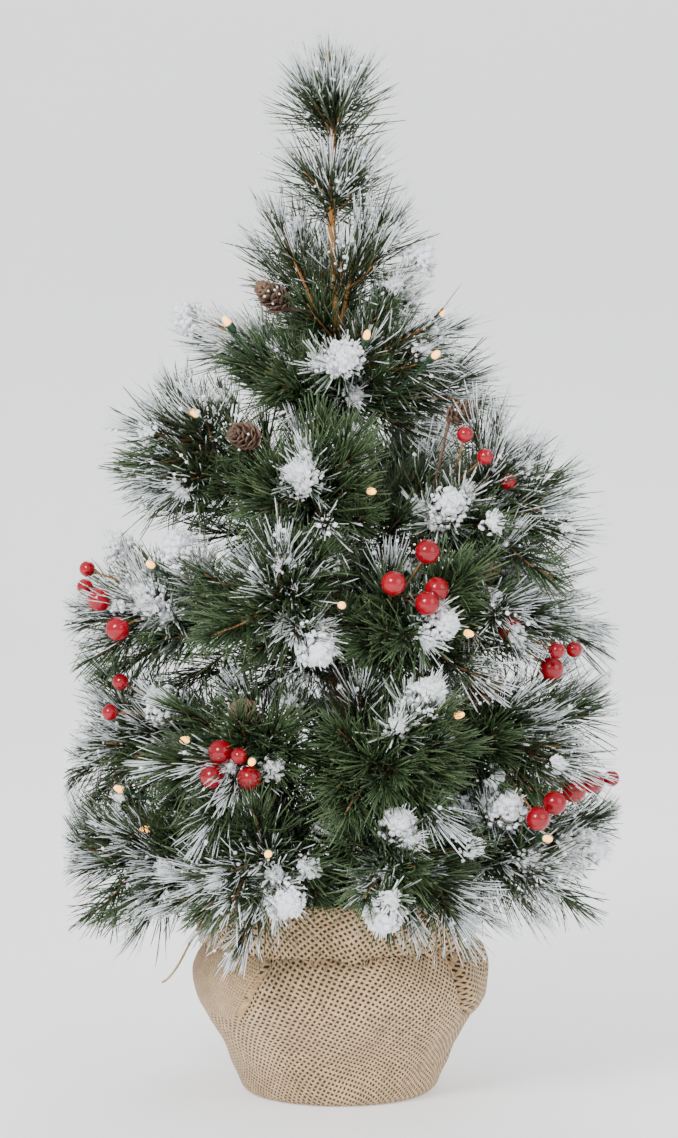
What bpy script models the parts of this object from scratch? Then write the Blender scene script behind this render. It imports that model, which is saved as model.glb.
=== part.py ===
"""Artificial tabletop tree: a pole in a weighted burlap sack, hinged branches, cones, berries and lights.

Metres, +Z up, the front of the tree faces -Y. Azimuths are degrees from +X towards +Y.
"""

import math

import bmesh
import bpy
from mathutils import Matrix, Vector

# ---------------------------------------------------------------- sizes
TREE_HEIGHT = 0.594  # floor to the tip of the leader
CLEAR = 0.0003  # gap between pieces that touch

# sack and what it holds
SACK_FOOT_R = 0.0540
SACK_POT_R = 0.0620  # where the cloth leaves the block and starts to bulge
SACK_POT_Z = 0.025
SACK_BELLY_R = 0.080
SACK_BELLY_Z = 0.059
SACK_NECK_R = 0.066
SACK_NECK_Z = 0.098
SACK_WALL = 0.0020
CUFF_TOP_Z = 0.113
CUFF_HEM_Z = 0.084
CUFF_STANDOFF = 0.0032  # from the sack to the inside of the cuff's hem
CUFF_FLARE = 0.0140  # from the neck to the outside of the cuff's top edge
CUFF_WALL = 0.0020
CUFF_LIP = 0.0030  # how far the cuff's top edge rolls in from its outside
TIE_R = 0.0015
TIE_Z = 0.092
TIE_BITE = 0.0010  # how far the tie draws the neck in
BLOCK_H = 0.032
SOCKET_H = 0.052
SOCKET_WALL = 0.0035
STUFFING_TOP_Z = 0.082
STUFFING_SLACK = 0.0010

# pole and its bracket rings
POLE_R = 0.0050
POLE_TOP_Z = 0.345
POLE_FOOT_Z = 0.006
TIER_Z = {"a": 0.124, "b": 0.180, "c": 0.236, "d": 0.292}
RING_WALL = 0.0055
RING_H = 0.0090
HINGE_OUT = 0.0030  # from the pole's face to each branch's hinge
KNUCKLE_R = 0.0018
KNUCKLE_W = 0.0038
SLOT_CLEAR = 0.0004
RING_R = POLE_R + RING_WALL
HINGE_R = POLE_R + HINGE_OUT
LEADER_R = 0.0024
LEADER_SEAT = 0.016

# branches
STEM_R = 0.0015
TWIG_R = 0.0012
STEM_LIFT = 0.010
TIP_R = {"pine": 0.0042, "tinsel": 0.0046, "flock": 0.0052}

# cones, berries and lamps
CONE_R = 0.0100
CONE_L = 0.0250
STALK_R = 0.0009
SPRIG_ARCH = 0.009  # how far a sprig's fork rises over the tips beside it
STALK_STEP = 0.12  # share of a sprig's stalk between the wire of one berry and of the next
BERRY_R = 0.0066
SMALL_BERRY_R = 0.0045
WIRE_R = 0.0008
WIRE_OFFSET = 0.0042  # from a stem's centre line to the wire that follows it
LAMP_R = 0.0024
LAMP_L = 0.0110
LAMP_ARCH = 0.007  # how far a lamp's wire rises over the tips beside it
LEAD_R = 0.0011
LEAD_AZIMUTH = 18.0
LEAD_BEND = 0.0174  # height in which the lead turns from the case to the pole

# battery case
CELL_R = 0.0071
CELL_L = 0.0490
NUB_R = 0.0027
NUB_L = 0.0012
CELL_SLACK = 0.0004
CASE_WALL = 0.0020
CASE_FRONT_Y = 0.030
CASE_FOOT_Z = 0.046
STRIP_T = 0.0006
SPRING_H = 0.0030
SWITCH_ROOM = 0.0050
COVER_T = 0.0016
COVER_LIP = 0.0022
COVER_TRAVEL = 0.010
KNOB_TRAVEL = 0.004
KNOB_L = 0.0040
KNOB_W = 0.0030

# Each branch: tier, azimuth, tip of its main stem, then its side tips. A tip is its kind, where it leaves
# the main stem (0 hinge, 1 end), its azimuth from the branch's own, its reach and the height of its end.
BRANCHES = {
    "a1": ("a", 196, ("pine", 1, 0, 0.146, 0.131), [
        ("pine", 0.45, -16, 0.146, 0.152), ("pine", 0.35, 18, 0.122, 0.116), ("tinsel", 0.30, 8, 0.100, 0.150)]),
    "a2": ("a", 243, ("pine", 1, 0, 0.126, 0.138), [
        ("flock", 0.45, 14, 0.120, 0.122), ("pine", 0.35, -17, 0.122, 0.118), ("tinsel", 0.30, -7, 0.096, 0.154)]),
    "a3": ("a", 290, ("tinsel", 1, 0, 0.118, 0.140), [
        ("flock", 0.50, -9, 0.121, 0.114), ("pine", 0.35, 18, 0.128, 0.113), ("flock", 0.30, -3, 0.108, 0.163)]),
    "a4": ("a", 343, ("flock", 1, 3, 0.143, 0.139), [
        ("pine", 0.40, -15, 0.128, 0.120), ("pine", 0.45, 16, 0.142, 0.152), ("flock", 0.30, -21, 0.115, 0.168)]),
    "a5": ("a", 48, ("pine", 1, 0, 0.136, 0.132), [
        ("flock", 0.40, -19, 0.132, 0.148), ("pine", 0.40, 17, 0.130, 0.120), ("tinsel", 0.30, -6, 0.100, 0.156)]),
    "a6": ("a", 122, ("pine", 1, 0, 0.138, 0.130), [
        ("pine", 0.35, 28, 0.138, 0.140), ("flock", 0.40, -18, 0.128, 0.124), ("tinsel", 0.30, 8, 0.100, 0.158)]),
    "b1": ("b", 176, ("pine", 1, 0, 0.144, 0.188), [
        ("pine", 0.40, -17, 0.132, 0.206), ("pine", 0.45, 14, 0.126, 0.214), ("flock", 0.35, 31, 0.108, 0.222),
        ("pine", 0.25, -36, 0.134, 0.186)]),
    "b2": ("b", 232, ("pine", 1, 0, 0.118, 0.192), [
        ("tinsel", 0.40, 21, 0.108, 0.212), ("tinsel", 0.35, -16, 0.114, 0.190)]),
    "b3": ("b", 286, ("tinsel", 1, 0, 0.114, 0.190), [
        ("flock", 0.45, 9, 0.113, 0.232), ("tinsel", 0.40, 20, 0.112, 0.202), ("tinsel", 0.35, -17, 0.110, 0.182)]),
    "b4": ("b", 334, ("pine", 1, 0, 0.134, 0.198), [
        ("pine", 0.45, 17, 0.136, 0.224), ("tinsel", 0.35, -15, 0.112, 0.206)]),
    "b5": ("b", 72, ("pine", 1, 0, 0.128, 0.190), [
        ("pine", 0.35, -27, 0.132, 0.206), ("tinsel", 0.40, 18, 0.120, 0.186), ("flock", 0.30, 35, 0.126, 0.212),
        ("pine", 0.20, -46, 0.136, 0.190)]),
    "c1": ("c", 190, ("pine", 1, 0, 0.140, 0.270), [
        ("flock", 0.45, -9, 0.122, 0.302), ("flock", 0.40, 13, 0.116, 0.278), ("pine", 0.35, -27, 0.130, 0.262),
        ("flock", 0.25, 30, 0.112, 0.308)]),
    "c2": ("c", 248, ("pine", 1, 0, 0.108, 0.288), [
        ("flock", 0.40, 16, 0.113, 0.254), ("tinsel", 0.35, -15, 0.108, 0.262), ("tinsel", 0.45, 9, 0.096, 0.306)]),
    "c3": ("c", 300, ("flock", 1, 0, 0.110, 0.268), [
        ("tinsel", 0.35, -17, 0.106, 0.262), ("tinsel", 0.40, 14, 0.108, 0.298)]),
    "c4": ("c", 346, ("flock", 1, 0, 0.112, 0.288), [
        ("pine", 0.45, 9, 0.140, 0.258), ("pine", 0.35, -27, 0.124, 0.272), ("pine", 0.30, 29, 0.130, 0.274)]),
    "c5": ("c", 98, ("pine", 1, 0, 0.126, 0.266), [
        ("pine", 0.30, -34, 0.126, 0.262), ("tinsel", 0.45, -12, 0.102, 0.288), ("flock", 0.40, 19, 0.120, 0.290),
        ("pine", 0.30, 42, 0.126, 0.258)]),
    "d1": ("d", 200, ("pine", 1, 0, 0.104, 0.376), [
        ("pine", 0.45, 9, 0.114, 0.340), ("pine", 0.35, -28, 0.106, 0.362), ("tinsel", 0.30, 28, 0.086, 0.344)]),
    "d2": ("d", 258, ("flock", 1, -2, 0.088, 0.346), [
        ("tinsel", 0.35, -20, 0.088, 0.340), ("tinsel", 0.40, 19, 0.086, 0.358)]),
    "d3": ("d", 325, ("pine", 1, 10, 0.122, 0.326), [
        ("flock", 0.40, 23, 0.108, 0.357), ("flock", 0.35, -17, 0.096, 0.330), ("pine", 0.45, 3, 0.100, 0.368)]),
    "d4": ("d", 62, ("pine", 1, 0, 0.106, 0.352), [
        ("pine", 0.30, -34, 0.110, 0.340), ("flock", 0.40, 24, 0.102, 0.360), ("pine", 0.25, 58, 0.106, 0.344)]),
}

# The leader's tips are fixed to it: kind, height where each leaves, azimuth, reach and the height of its end.
LEADER_TIPS = [
    ("flock", 0.368, 188, 0.084, 0.430), ("tinsel", 0.364, 214, 0.066, 0.404), ("pine", 0.372, 155, 0.074, 0.410),
    ("flock", 0.374, 273, 0.062, 0.408), ("tinsel", 0.366, 240, 0.060, 0.392), ("pine", 0.378, 318, 0.066, 0.424),
    ("flock", 0.386, 338, 0.048, 0.462), ("pine", 0.364, 346, 0.078, 0.382), ("pine", 0.374, 72, 0.072, 0.418),
    ("pine", 0.368, 36, 0.072, 0.400), ("flock", 0.372, 112, 0.070, 0.424), ("pine", 0.400, 205, 0.038, 0.482),
    ("pine", 0.420, 300, 0.024, 0.476), ("pine", 0.410, 100, 0.036, 0.470),
]
# Its own stem wanders: x, and the share of its height above the pole.
LEADER_LEAN = [(0.0, 0.0), (-0.001, 0.30), (-0.004, 0.52), (-0.003, 0.72), (-0.006, 0.86), (-0.006, 1.0)]

# Cones: branch, where the stalk leaves it, then azimuth, reach and height of the cone's middle, and its tilt.
CONES = {
    "cone_1": ("leader", 0.34, 222, 0.048, 0.440, 30), "cone_2": ("d1", 0.44, 236, 0.090, 0.366, 8),
    "cone_3": ("b4", 0.40, 318, 0.104, 0.231, 25), "cone_4": ("b2", 0.42, 239, 0.096, 0.219, 20),
    "cone_5": ("c4", 0.40, 327, 0.090, 0.290, 20), "cone_6": ("d3", 0.40, 322, 0.084, 0.378, 25),
}

# Berry sprigs: branch, where the sprig leaves it, then azimuth, reach, height and radius of each berry.
BERRIES = {
    "berries_1": ("c1", 0.46, [
        (186, 0.139, 0.291, SMALL_BERRY_R), (190, 0.141, 0.282, SMALL_BERRY_R), (197, 0.136, 0.276, BERRY_R),
        (203, 0.130, 0.261, BERRY_R)]),
    "berries_2": ("b1", 0.40, [(198, 0.125, 0.231, SMALL_BERRY_R), (199.5, 0.132, 0.215, SMALL_BERRY_R)]),
    "berries_3": ("b2", 0.46, [
        (238, 0.118, 0.200, BERRY_R), (244.5, 0.122, 0.199, SMALL_BERRY_R), (236, 0.120, 0.187, BERRY_R),
        (246, 0.116, 0.187, BERRY_R)]),
    "berries_4": ("c3", 0.46, [
        (294.5, 0.112, 0.306, BERRY_R), (284.5, 0.114, 0.290, BERRY_R), (298, 0.110, 0.286, BERRY_R),
        (294, 0.114, 0.279, BERRY_R)]),
    "berries_5": ("c4", 0.46, [
        (327, 0.110, 0.262, BERRY_R), (329, 0.136, 0.251, SMALL_BERRY_R), (333.5, 0.128, 0.240, BERRY_R),
        (338, 0.137, 0.250, SMALL_BERRY_R)]),
    "berries_6": ("b4", 0.46, [
        (320, 0.138, 0.163, BERRY_R), (326, 0.139, 0.170, BERRY_R), (333, 0.142, 0.175, BERRY_R),
        (340, 0.146, 0.178, BERRY_R), (346, 0.153, 0.178, SMALL_BERRY_R)]),
    "berries_7": ("d3", 0.44, [
        (316, 0.108, 0.355, SMALL_BERRY_R), (310, 0.104, 0.367, SMALL_BERRY_R), (327, 0.108, 0.341, SMALL_BERRY_R)]),
}

# Light runs: branch, how far the wire follows it, then azimuth, reach and height of each lamp's middle.
LIGHTS = {
    "lights_1": ("a1", 0.48, [(199.5, 0.110, 0.150), (192, 0.121, 0.170)]),
    "lights_2": ("a2", 0.48, [(253, 0.126, 0.149)]),
    "lights_3": ("a4", 0.48, [(330, 0.128, 0.149)]),
    "lights_4": ("b2", 0.48, [(248.5, 0.124, 0.197), (224, 0.112, 0.204)]),
    "lights_5": ("b3", 0.48, [(305, 0.108, 0.218)]),
    "lights_6": ("c1", 0.48, [(212, 0.118, 0.296)]),
    "lights_7": ("c3", 0.48, [(308.5, 0.108, 0.262), (271, 0.106, 0.278)]),
    "lights_8": ("d1", 0.46, [(219, 0.098, 0.377)]),
    "lights_9": ("d2", 0.46, [(281, 0.084, 0.337)]),
    "lights_10": ("c5", 0.48, [(92, 0.124, 0.281), (108, 0.112, 0.274)]),
}
LEAD_LAMPS = [(205, 0.066, 0.425), (284, 0.060, 0.418), (308, 0.082, 0.408), (10, 0.056, 0.430)]
LEAD_RING_Z = 0.3535  # where the lead loops round the leader
LEAD_RING_R = 0.0090

# ---------------------------------------------------------------- colours: rgb, roughness, metallic
LOOKS = {
    "burlap": ((0.52, 0.38, 0.22), 0.95, 0.0), "jute": ((0.60, 0.45, 0.26), 0.9, 0.0),
    "cement": ((0.55, 0.54, 0.50), 0.9, 0.0), "stuffing": ((0.80, 0.76, 0.68), 0.95, 0.0),
    "socket": ((0.03, 0.10, 0.05), 0.5, 0.0), "pole": ((0.40, 0.20, 0.06), 0.6, 0.0),
    "foliage": ((0.05, 0.13, 0.06), 0.6, 0.0), "cone": ((0.20, 0.11, 0.07), 0.8, 0.0),
    "berry": ((0.55, 0.01, 0.03), 0.25, 0.0), "wire": ((0.02, 0.07, 0.03), 0.5, 0.0),
    "case": ((0.02, 0.07, 0.03), 0.45, 0.0), "cell": ((0.12, 0.12, 0.14), 0.35, 0.6),
    "strip": ((0.75, 0.74, 0.70), 0.3, 1.0), "knob": ((0.03, 0.03, 0.03), 0.4, 0.0),
}

for leftover in list(bpy.data.objects):
    bpy.data.objects.remove(leftover)
tree = bpy.data.collections.new("tabletop_tree")
bpy.context.scene.collection.children.link(tree)


def at(azimuth, reach, height):
    """A point from its azimuth in degrees, its distance from the pole's axis and its height."""
    a = math.radians(azimuth)
    return Vector((reach * math.cos(a), reach * math.sin(a), height))


def look(name):
    mat = bpy.data.materials.get(name) or bpy.data.materials.new(name)
    rgb, roughness, metallic = LOOKS[name]
    mat.use_nodes = True
    shader = mat.node_tree.nodes["Principled BSDF"]
    shader.inputs["Base Color"].default_value = (*rgb, 1)
    shader.inputs["Roughness"].default_value = roughness
    shader.inputs["Metallic"].default_value = metallic
    mat.diffuse_color = (*rgb, 1)
    return mat


def keep(ob, name, look_name):
    """Name a finished piece, colour it and put it in the tree's collection."""
    for col in list(ob.users_collection):
        col.objects.unlink(ob)
    tree.objects.link(ob)
    ob.name = ob.data.name = name
    ob.data.materials.clear()
    ob.data.materials.append(look(look_name))
    return ob


def solid(mesh_maker, name="shape"):
    """An object whose mesh a bmesh function builds."""
    bm = bmesh.new()
    mesh_maker(bm)
    mesh = bpy.data.meshes.new(name)
    bm.to_mesh(mesh)
    bm.free()
    ob = bpy.data.objects.new(name, mesh)
    tree.objects.link(ob)
    return ob


def box(low, high):
    low, high = Vector(low), Vector(high)
    place = Matrix.LocRotScale((low + high) / 2, None, high - low)
    return solid(lambda bm: bmesh.ops.create_cube(bm, size=1, matrix=place))


def rod(centre, axis, radius, length, sides=24):
    turn = Vector(axis).to_track_quat("Z", "Y").to_matrix().to_4x4()
    place = Matrix.Translation(centre) @ turn
    return solid(lambda bm: bmesh.ops.create_cone(
        bm, cap_ends=True, segments=sides, radius1=radius, radius2=radius, depth=length, matrix=place))


def ball(centre, radius, across=8, down=5):
    return solid(lambda bm: bmesh.ops.create_uvsphere(
        bm, u_segments=across, v_segments=down, radius=radius, matrix=Matrix.Translation(centre)))


def turned(profile, steps=32):
    """A shape turned round the Z axis from a closed profile of (radius, height) points, run down its outside."""
    mesh = bpy.data.meshes.new("profile")
    on_axis = profile[0][0] == 0
    count = len(profile)
    edges = [(i, i + 1) for i in range(count - 1)] + ([] if on_axis else [(count - 1, 0)])
    mesh.from_pydata([(r, 0, z) for r, z in profile], edges, [])
    ob = bpy.data.objects.new("turned", mesh)
    tree.objects.link(ob)
    screw = ob.modifiers.new("turn", "SCREW")
    screw.steps = screw.render_steps = steps
    screw.use_merge_vertices = True
    screw.merge_threshold = 1e-5
    return applied(ob)


def applied(ob):
    """The object with its curve or modifiers turned into a plain, welded mesh."""
    shown = ob.evaluated_get(bpy.context.evaluated_depsgraph_get())
    mesh = bpy.data.meshes.new_from_object(shown)
    bm = bmesh.new()
    bm.from_mesh(mesh)
    bmesh.ops.remove_doubles(bm, verts=bm.verts, dist=1e-6)
    bm.to_mesh(mesh)
    bm.free()
    out = bpy.data.objects.new(ob.name, mesh)
    out.matrix_world = ob.matrix_world
    tree.objects.link(out)
    bpy.data.objects.remove(ob)
    return out


def tube(points, radii, sides=6):
    """A closed tube through the points, with its own radius at each."""
    curve = bpy.data.curves.new("tube", "CURVE")
    curve.dimensions = "3D"
    curve.bevel_depth = 1
    curve.bevel_resolution = (sides - 4) // 2
    curve.use_fill_caps = True
    spline = curve.splines.new("POLY")
    spline.points.add(len(points) - 1)
    for spot, point, radius in zip(spline.points, points, radii):
        spot.co = (*point, 1)
        spot.radius = radius
    ob = bpy.data.objects.new("tube", curve)
    tree.objects.link(ob)
    return applied(ob)


def combine(ob, other, operation):
    """Join or cut with an exact Boolean, then drop the other object."""
    step = ob.modifiers.new(operation, "BOOLEAN")
    step.operation = operation
    step.object = other
    out = applied(ob)
    bpy.data.objects.remove(other)
    return out


def join(ob, *others):
    for other in others:
        ob = combine(ob, other, "UNION")
    return ob


def cut(ob, *others):
    for other in others:
        ob = combine(ob, other, "DIFFERENCE")
    return ob


def shade(ob, degrees=40):
    ob.data.shade_smooth()
    ob.data.set_sharp_from_angle(angle=math.radians(degrees))
    return ob


def bow(start, bend, end, share):
    """A point on the curve from start to end that heads for bend."""
    return start.lerp(bend, share).lerp(bend.lerp(end, share), share)


# ---------------------------------------------------------------- base
def sack_outline(inset):
    """The sack's side from neck to floor, (radius, height), set in by a wall or a clearance."""
    waist, band = SACK_NECK_R - TIE_BITE, TIE_R + CLEAR
    side = [
        (SACK_NECK_R, SACK_NECK_Z), (waist, TIE_Z + band), (waist, TIE_Z - band),
        (0.96 * SACK_BELLY_R, SACK_BELLY_Z + 0.45 * (TIE_Z - SACK_BELLY_Z)), (SACK_BELLY_R, SACK_BELLY_Z),
        (SACK_POT_R + 0.6 * (SACK_BELLY_R - SACK_POT_R), 0.5 * (SACK_POT_Z + SACK_BELLY_Z)), (SACK_POT_R, SACK_POT_Z),
        (SACK_FOOT_R + 0.4 * (SACK_POT_R - SACK_FOOT_R), 0.45 * SACK_POT_Z),
        (SACK_FOOT_R, 0.003), (SACK_FOOT_R - 0.003, 0.0),
    ]
    return [(r - inset, max(z, inset)) for r, z in side]


def make_sack():
    """One layer of cloth, open at the neck: a floor disc under a turned wall."""
    outer = sack_outline(0)
    inner = sack_outline(SACK_WALL)
    inner[0] = (inner[0][0], SACK_NECK_Z)
    sack = turned([(0, SACK_WALL), *inner[::-1], *outer, (0, 0)])
    keep(shade(sack), "burlap_sack", "burlap")


def sack_radius(height):
    """The outside of the sack at a height above its foot."""
    side = sack_outline(0)
    high, low = next(pair for pair in zip(side, side[1:]) if pair[1][1] <= height <= pair[0][1])
    return low[0] + (high[0] - low[0]) * (height - low[1]) / (high[1] - low[1])


def make_cuff():
    """The neck's cloth, flared out and turned down over the tie."""
    hem = sack_radius(CUFF_HEM_Z) + CUFF_STANDOFF
    outer = SACK_NECK_R + CUFF_FLARE
    inner = outer - CUFF_WALL
    lining = SACK_NECK_R - CUFF_WALL
    foot = SACK_NECK_Z + CLEAR
    cuff = turned([
        (lining, foot), (inner - 2 * CUFF_LIP, CUFF_TOP_Z - CUFF_LIP), (inner - CUFF_LIP, CUFF_TOP_Z),
        (outer, CUFF_TOP_Z - CUFF_WALL), (hem + CUFF_WALL, CUFF_HEM_Z), (hem, CUFF_HEM_Z),
        (inner - CUFF_LIP - CUFF_WALL, CUFF_TOP_Z - 2 * CUFF_LIP), (lining + CUFF_LIP, foot)])
    keep(shade(cuff), "burlap_cuff", "burlap")


def make_tie():
    """Jute cord pulled tight round the sack's neck, under the cuff."""
    middle = SACK_NECK_R - TIE_BITE + CLEAR + TIE_R
    ring = [(middle + TIE_R * math.cos(a), TIE_Z + TIE_R * math.sin(a)) for a in
            [-math.tau * k / 6 for k in range(6)]]
    keep(shade(turned(ring)), "neck_tie", "jute")


def make_block():
    socket_r = POLE_R + CLEAR + SOCKET_WALL
    block_r = SACK_FOOT_R - SACK_WALL - 0.004
    foot = SACK_WALL + CLEAR
    top = foot + BLOCK_H
    block = turned([
        (socket_r + CLEAR, top), (block_r - 0.002, top), (block_r, top - 0.002), (block_r, foot + 0.002),
        (block_r - 0.002, foot), (socket_r + CLEAR, foot)])
    keep(shade(block), "base_block", "cement")
    floor = POLE_FOOT_Z - CLEAR
    flare = 0.004
    socket = turned([
        (0, floor), (POLE_R + CLEAR, floor), (POLE_R + CLEAR, SOCKET_H), (socket_r, SOCKET_H),
        (socket_r, top + CLEAR + 0.003), (socket_r + flare, top + CLEAR + 0.003), (socket_r + flare, top + CLEAR),
        (socket_r, top + CLEAR), (socket_r, foot), (0, foot)])
    keep(shade(socket), "trunk_socket", "socket")


def make_stuffing():
    """The wadding that gives the sack its bulge, with a pocket for the battery case."""
    slack = SACK_WALL + STUFFING_SLACK
    side = [p for p in sack_outline(slack) if p[1] < STUFFING_TOP_Z]
    foot = SACK_WALL + CLEAR + BLOCK_H + 0.006
    side = [p for p in side if p[1] > foot + 0.004]
    pole_room = POLE_R + SOCKET_WALL + 0.002
    wadding = turned([
        (pole_room, STUFFING_TOP_Z), (sack_radius(STUFFING_TOP_Z) - slack - 0.001, STUFFING_TOP_Z), *side,
        (sack_radius(foot) - slack - 0.001, foot),
        (pole_room, foot)])
    low, high = case_box()
    room = STUFFING_SLACK
    wadding = cut(wadding, box(low - Vector((room, room, room)), high + Vector((room, room, 0.05))))
    keep(shade(wadding), "stuffing", "stuffing")


def make_pole():
    """The pole with a bracket ring at each tier, a slot in it for each branch, and the leader's seat on top."""
    pole = rod((0, 0, (POLE_FOOT_Z + POLE_TOP_Z) / 2), (0, 0, 1), POLE_R, POLE_TOP_Z - POLE_FOOT_Z)
    drop = KNUCKLE_R + SLOT_CLEAR
    for tier, height in TIER_Z.items():
        ring = rod((0, 0, height + KNUCKLE_R - RING_H / 2), (0, 0, 1), RING_R, RING_H, 32)
        pole = join(pole, ring)
        for branch_tier, azimuth, _, _ in BRANCHES.values():
            if branch_tier != tier:
                continue
            inner = HINGE_R - KNUCKLE_R - SLOT_CLEAR
            half = KNUCKLE_W / 2 + SLOT_CLEAR
            slot = box((inner, -half, -drop), (RING_R + 0.002, half, RING_H))
            slot.data.transform(Matrix.Rotation(math.radians(azimuth), 4, "Z"))
            slot.data.transform(Matrix.Translation((0, 0, height)))
            pole = cut(pole, slot)
    seat = rod((0, 0, POLE_TOP_Z - LEADER_SEAT / 2), (0, 0, 1), LEADER_R + CLEAR, LEADER_SEAT + 0.0002, 12)
    seat.data.transform(Matrix.Translation((0, 0, 0.0001)))
    keep(shade(cut(pole, seat), 30), "pole", "pole")


# ---------------------------------------------------------------- battery case
def case_box():
    """The case's outer box, low and high corner: three cells side by side, strips, switch room and cover."""
    half_x = 3 * (CELL_R + CELL_SLACK) + CASE_WALL
    deep = 2 * (CELL_R + CELL_SLACK) + CASE_WALL + COVER_T + 2 * CLEAR + COVER_LIP
    tall = 3 * CASE_WALL + 2 * (STRIP_T + CLEAR) + SPRING_H + CELL_L + NUB_L + 2 * CLEAR + SWITCH_ROOM
    low = Vector((-half_x, CASE_FRONT_Y, CASE_FOOT_Z))
    return low, low + Vector((2 * half_x, deep, tall))


def make_case():
    low, high = case_box()
    case = box(low, high)
    cells_x = high.x - CASE_WALL
    cells_back = low.y + CASE_WALL + 2 * (CELL_R + CELL_SLACK)
    foot = low.z + CASE_WALL
    bay_top = high.z - 2 * CASE_WALL - SWITCH_ROOM
    over = 0.002
    slot_y = cells_back + COVER_T + 2 * CLEAR
    groove = 0.0012
    bay = box((-cells_x, low.y + CASE_WALL, foot), (cells_x, cells_back + 0.0001, bay_top))
    switch_bay = box((-cells_x, low.y + CASE_WALL, bay_top + CASE_WALL), (cells_x, cells_back + 0.0001, high.z - CASE_WALL))
    slot = box((-cells_x - groove, cells_back, foot - 0.0005), (cells_x + groove, slot_y, high.z + over))
    window = box((-cells_x + groove, slot_y - 0.0001, foot - 0.0005), (cells_x - groove, high.y + over, high.z + over))
    knob_y = low.y + CASE_WALL + CELL_R + CELL_SLACK
    gate = box((-KNOB_L / 2 - CLEAR, knob_y - KNOB_W / 2 - CLEAR, high.z - 0.004),
               (KNOB_L / 2 + KNOB_TRAVEL + CLEAR, knob_y + KNOB_W / 2 + CLEAR, high.z + over))
    keep(cut(case, bay, switch_bay, slot, window, gate), "battery_case", "case")

    cover = box((-cells_x - groove + CLEAR, cells_back + CLEAR, foot - 0.0005 + CLEAR),
                (cells_x + groove - CLEAR, slot_y - CLEAR, high.z - 0.0005))
    grips = [box((-0.008, slot_y - CLEAR - 0.0004, high.z - 0.016 + 0.003 * k),
                 (0.008, slot_y - CLEAR + 0.0012, high.z - 0.0148 + 0.003 * k)) for k in range(4)]
    keep(join(cover, *grips), "battery_cover", "case")

    low_strip = foot + CLEAR
    cell_foot = low_strip + STRIP_T + SPRING_H + CLEAR
    for index in range(3):
        x = (index - 1) * 2 * (CELL_R + CELL_SLACK)
        cell = rod((x, knob_y, cell_foot + CELL_L / 2), (0, 0, 1), CELL_R, CELL_L, 20)
        nub = rod((x, knob_y, cell_foot + CELL_L + NUB_L / 2 - 0.0002), (0, 0, 1), NUB_R, NUB_L + 0.0004, 12)
        keep(shade(join(cell, nub)), f"battery_cell_{index + 1}", "cell")
    strip_x = cells_x - 0.0008
    strip = box((-strip_x, knob_y - 0.0045, low_strip), (strip_x, knob_y + 0.0045, low_strip + STRIP_T))
    springs = [rod(((index - 1) * 2 * (CELL_R + CELL_SLACK), knob_y, low_strip + STRIP_T + SPRING_H / 2 - 0.0001),
                   (0, 0, 1), 0.0035, SPRING_H, 12) for index in range(3)]
    keep(join(strip, *springs), "contact_springs", "strip")
    high_strip = cell_foot + CELL_L + NUB_L + CLEAR + 0.0001
    keep(box((-strip_x, knob_y - 0.0045, high_strip), (strip_x, knob_y + 0.0045, high_strip + STRIP_T)),
         "contact_strip", "strip")

    flange_top = high.z - CASE_WALL - CLEAR
    knob = join(
        box((-KNOB_L / 2, knob_y - KNOB_W / 2, flange_top - 0.0006), (KNOB_L / 2, knob_y + KNOB_W / 2, high.z + 0.0012)),
        box((-KNOB_L, knob_y - KNOB_W, flange_top - 0.0012), (KNOB_L, knob_y + KNOB_W, flange_top)))
    keep(knob, "switch_knob", "knob")


# ---------------------------------------------------------------- branches
def hinge_point(name):
    tier, azimuth, _, _ = BRANCHES[name]
    return at(azimuth, HINGE_R, TIER_Z[tier])


def leader_spot(lean):
    return Vector((lean[0], 0, POLE_TOP_Z + lean[1] * (TREE_HEIGHT - POLE_TOP_Z)))


def stem_point(name, share):
    """A point on a branch's main stem, or on the leader, at a share of its length."""
    if name == "leader":
        low, high = next(pair for pair in zip(LEADER_LEAN, LEADER_LEAN[1:]) if pair[0][1] <= share < pair[1][1])
        return leader_spot(low).lerp(leader_spot(high), (share - low[1]) / (high[1] - low[1]))
    _, azimuth, (_, _, turn, reach, height), _ = BRANCHES[name]
    start = hinge_point(name)
    end = at(azimuth + turn, reach, height)
    bend = start.lerp(end, 0.5) + Vector((0, 0, STEM_LIFT))
    return bow(start, bend, end, share)


def twig(start, heading, end, kind):
    """A side tip: a thin stem that leaves along the heading, then a slim spindle of foliage."""
    reach = (end - start).length
    bend = start + heading.normalized() * reach * 0.4
    shares = (0, 0.30, 0.5, 0.82, 1)
    thick = TIP_R[kind]
    radii = (TWIG_R * 0.9, TWIG_R, thick * 0.8, thick, thick * 0.5)
    return tube([bow(start, bend, end, s) for s in shares], radii)


def make_branch(name):
    _, azimuth, (kind, _, _, _, _), side_tips = BRANCHES[name]
    hinge = hinge_point(name)
    across = at(azimuth + 90, 1, 0)
    knuckle = rod(hinge, across, KNUCKLE_R, KNUCKLE_W, 12)
    thick = TIP_R[kind]
    shares = (0, 0.12, 0.3, 0.5, 0.64, 0.88, 1)
    radii = (STEM_R, STEM_R, STEM_R, STEM_R, thick * 0.8, thick, thick * 0.5)
    branch = join(knuckle, tube([stem_point(name, s) for s in shares], radii, 8))
    for kind, leave, turn, reach, height in side_tips:
        start = stem_point(name, leave)
        heading = stem_point(name, leave + 0.1) - start
        branch = join(branch, twig(start, heading, at(azimuth + turn, reach, height), kind))
    keep(shade(branch, 50), f"branch_{name}", "foliage")


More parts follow.
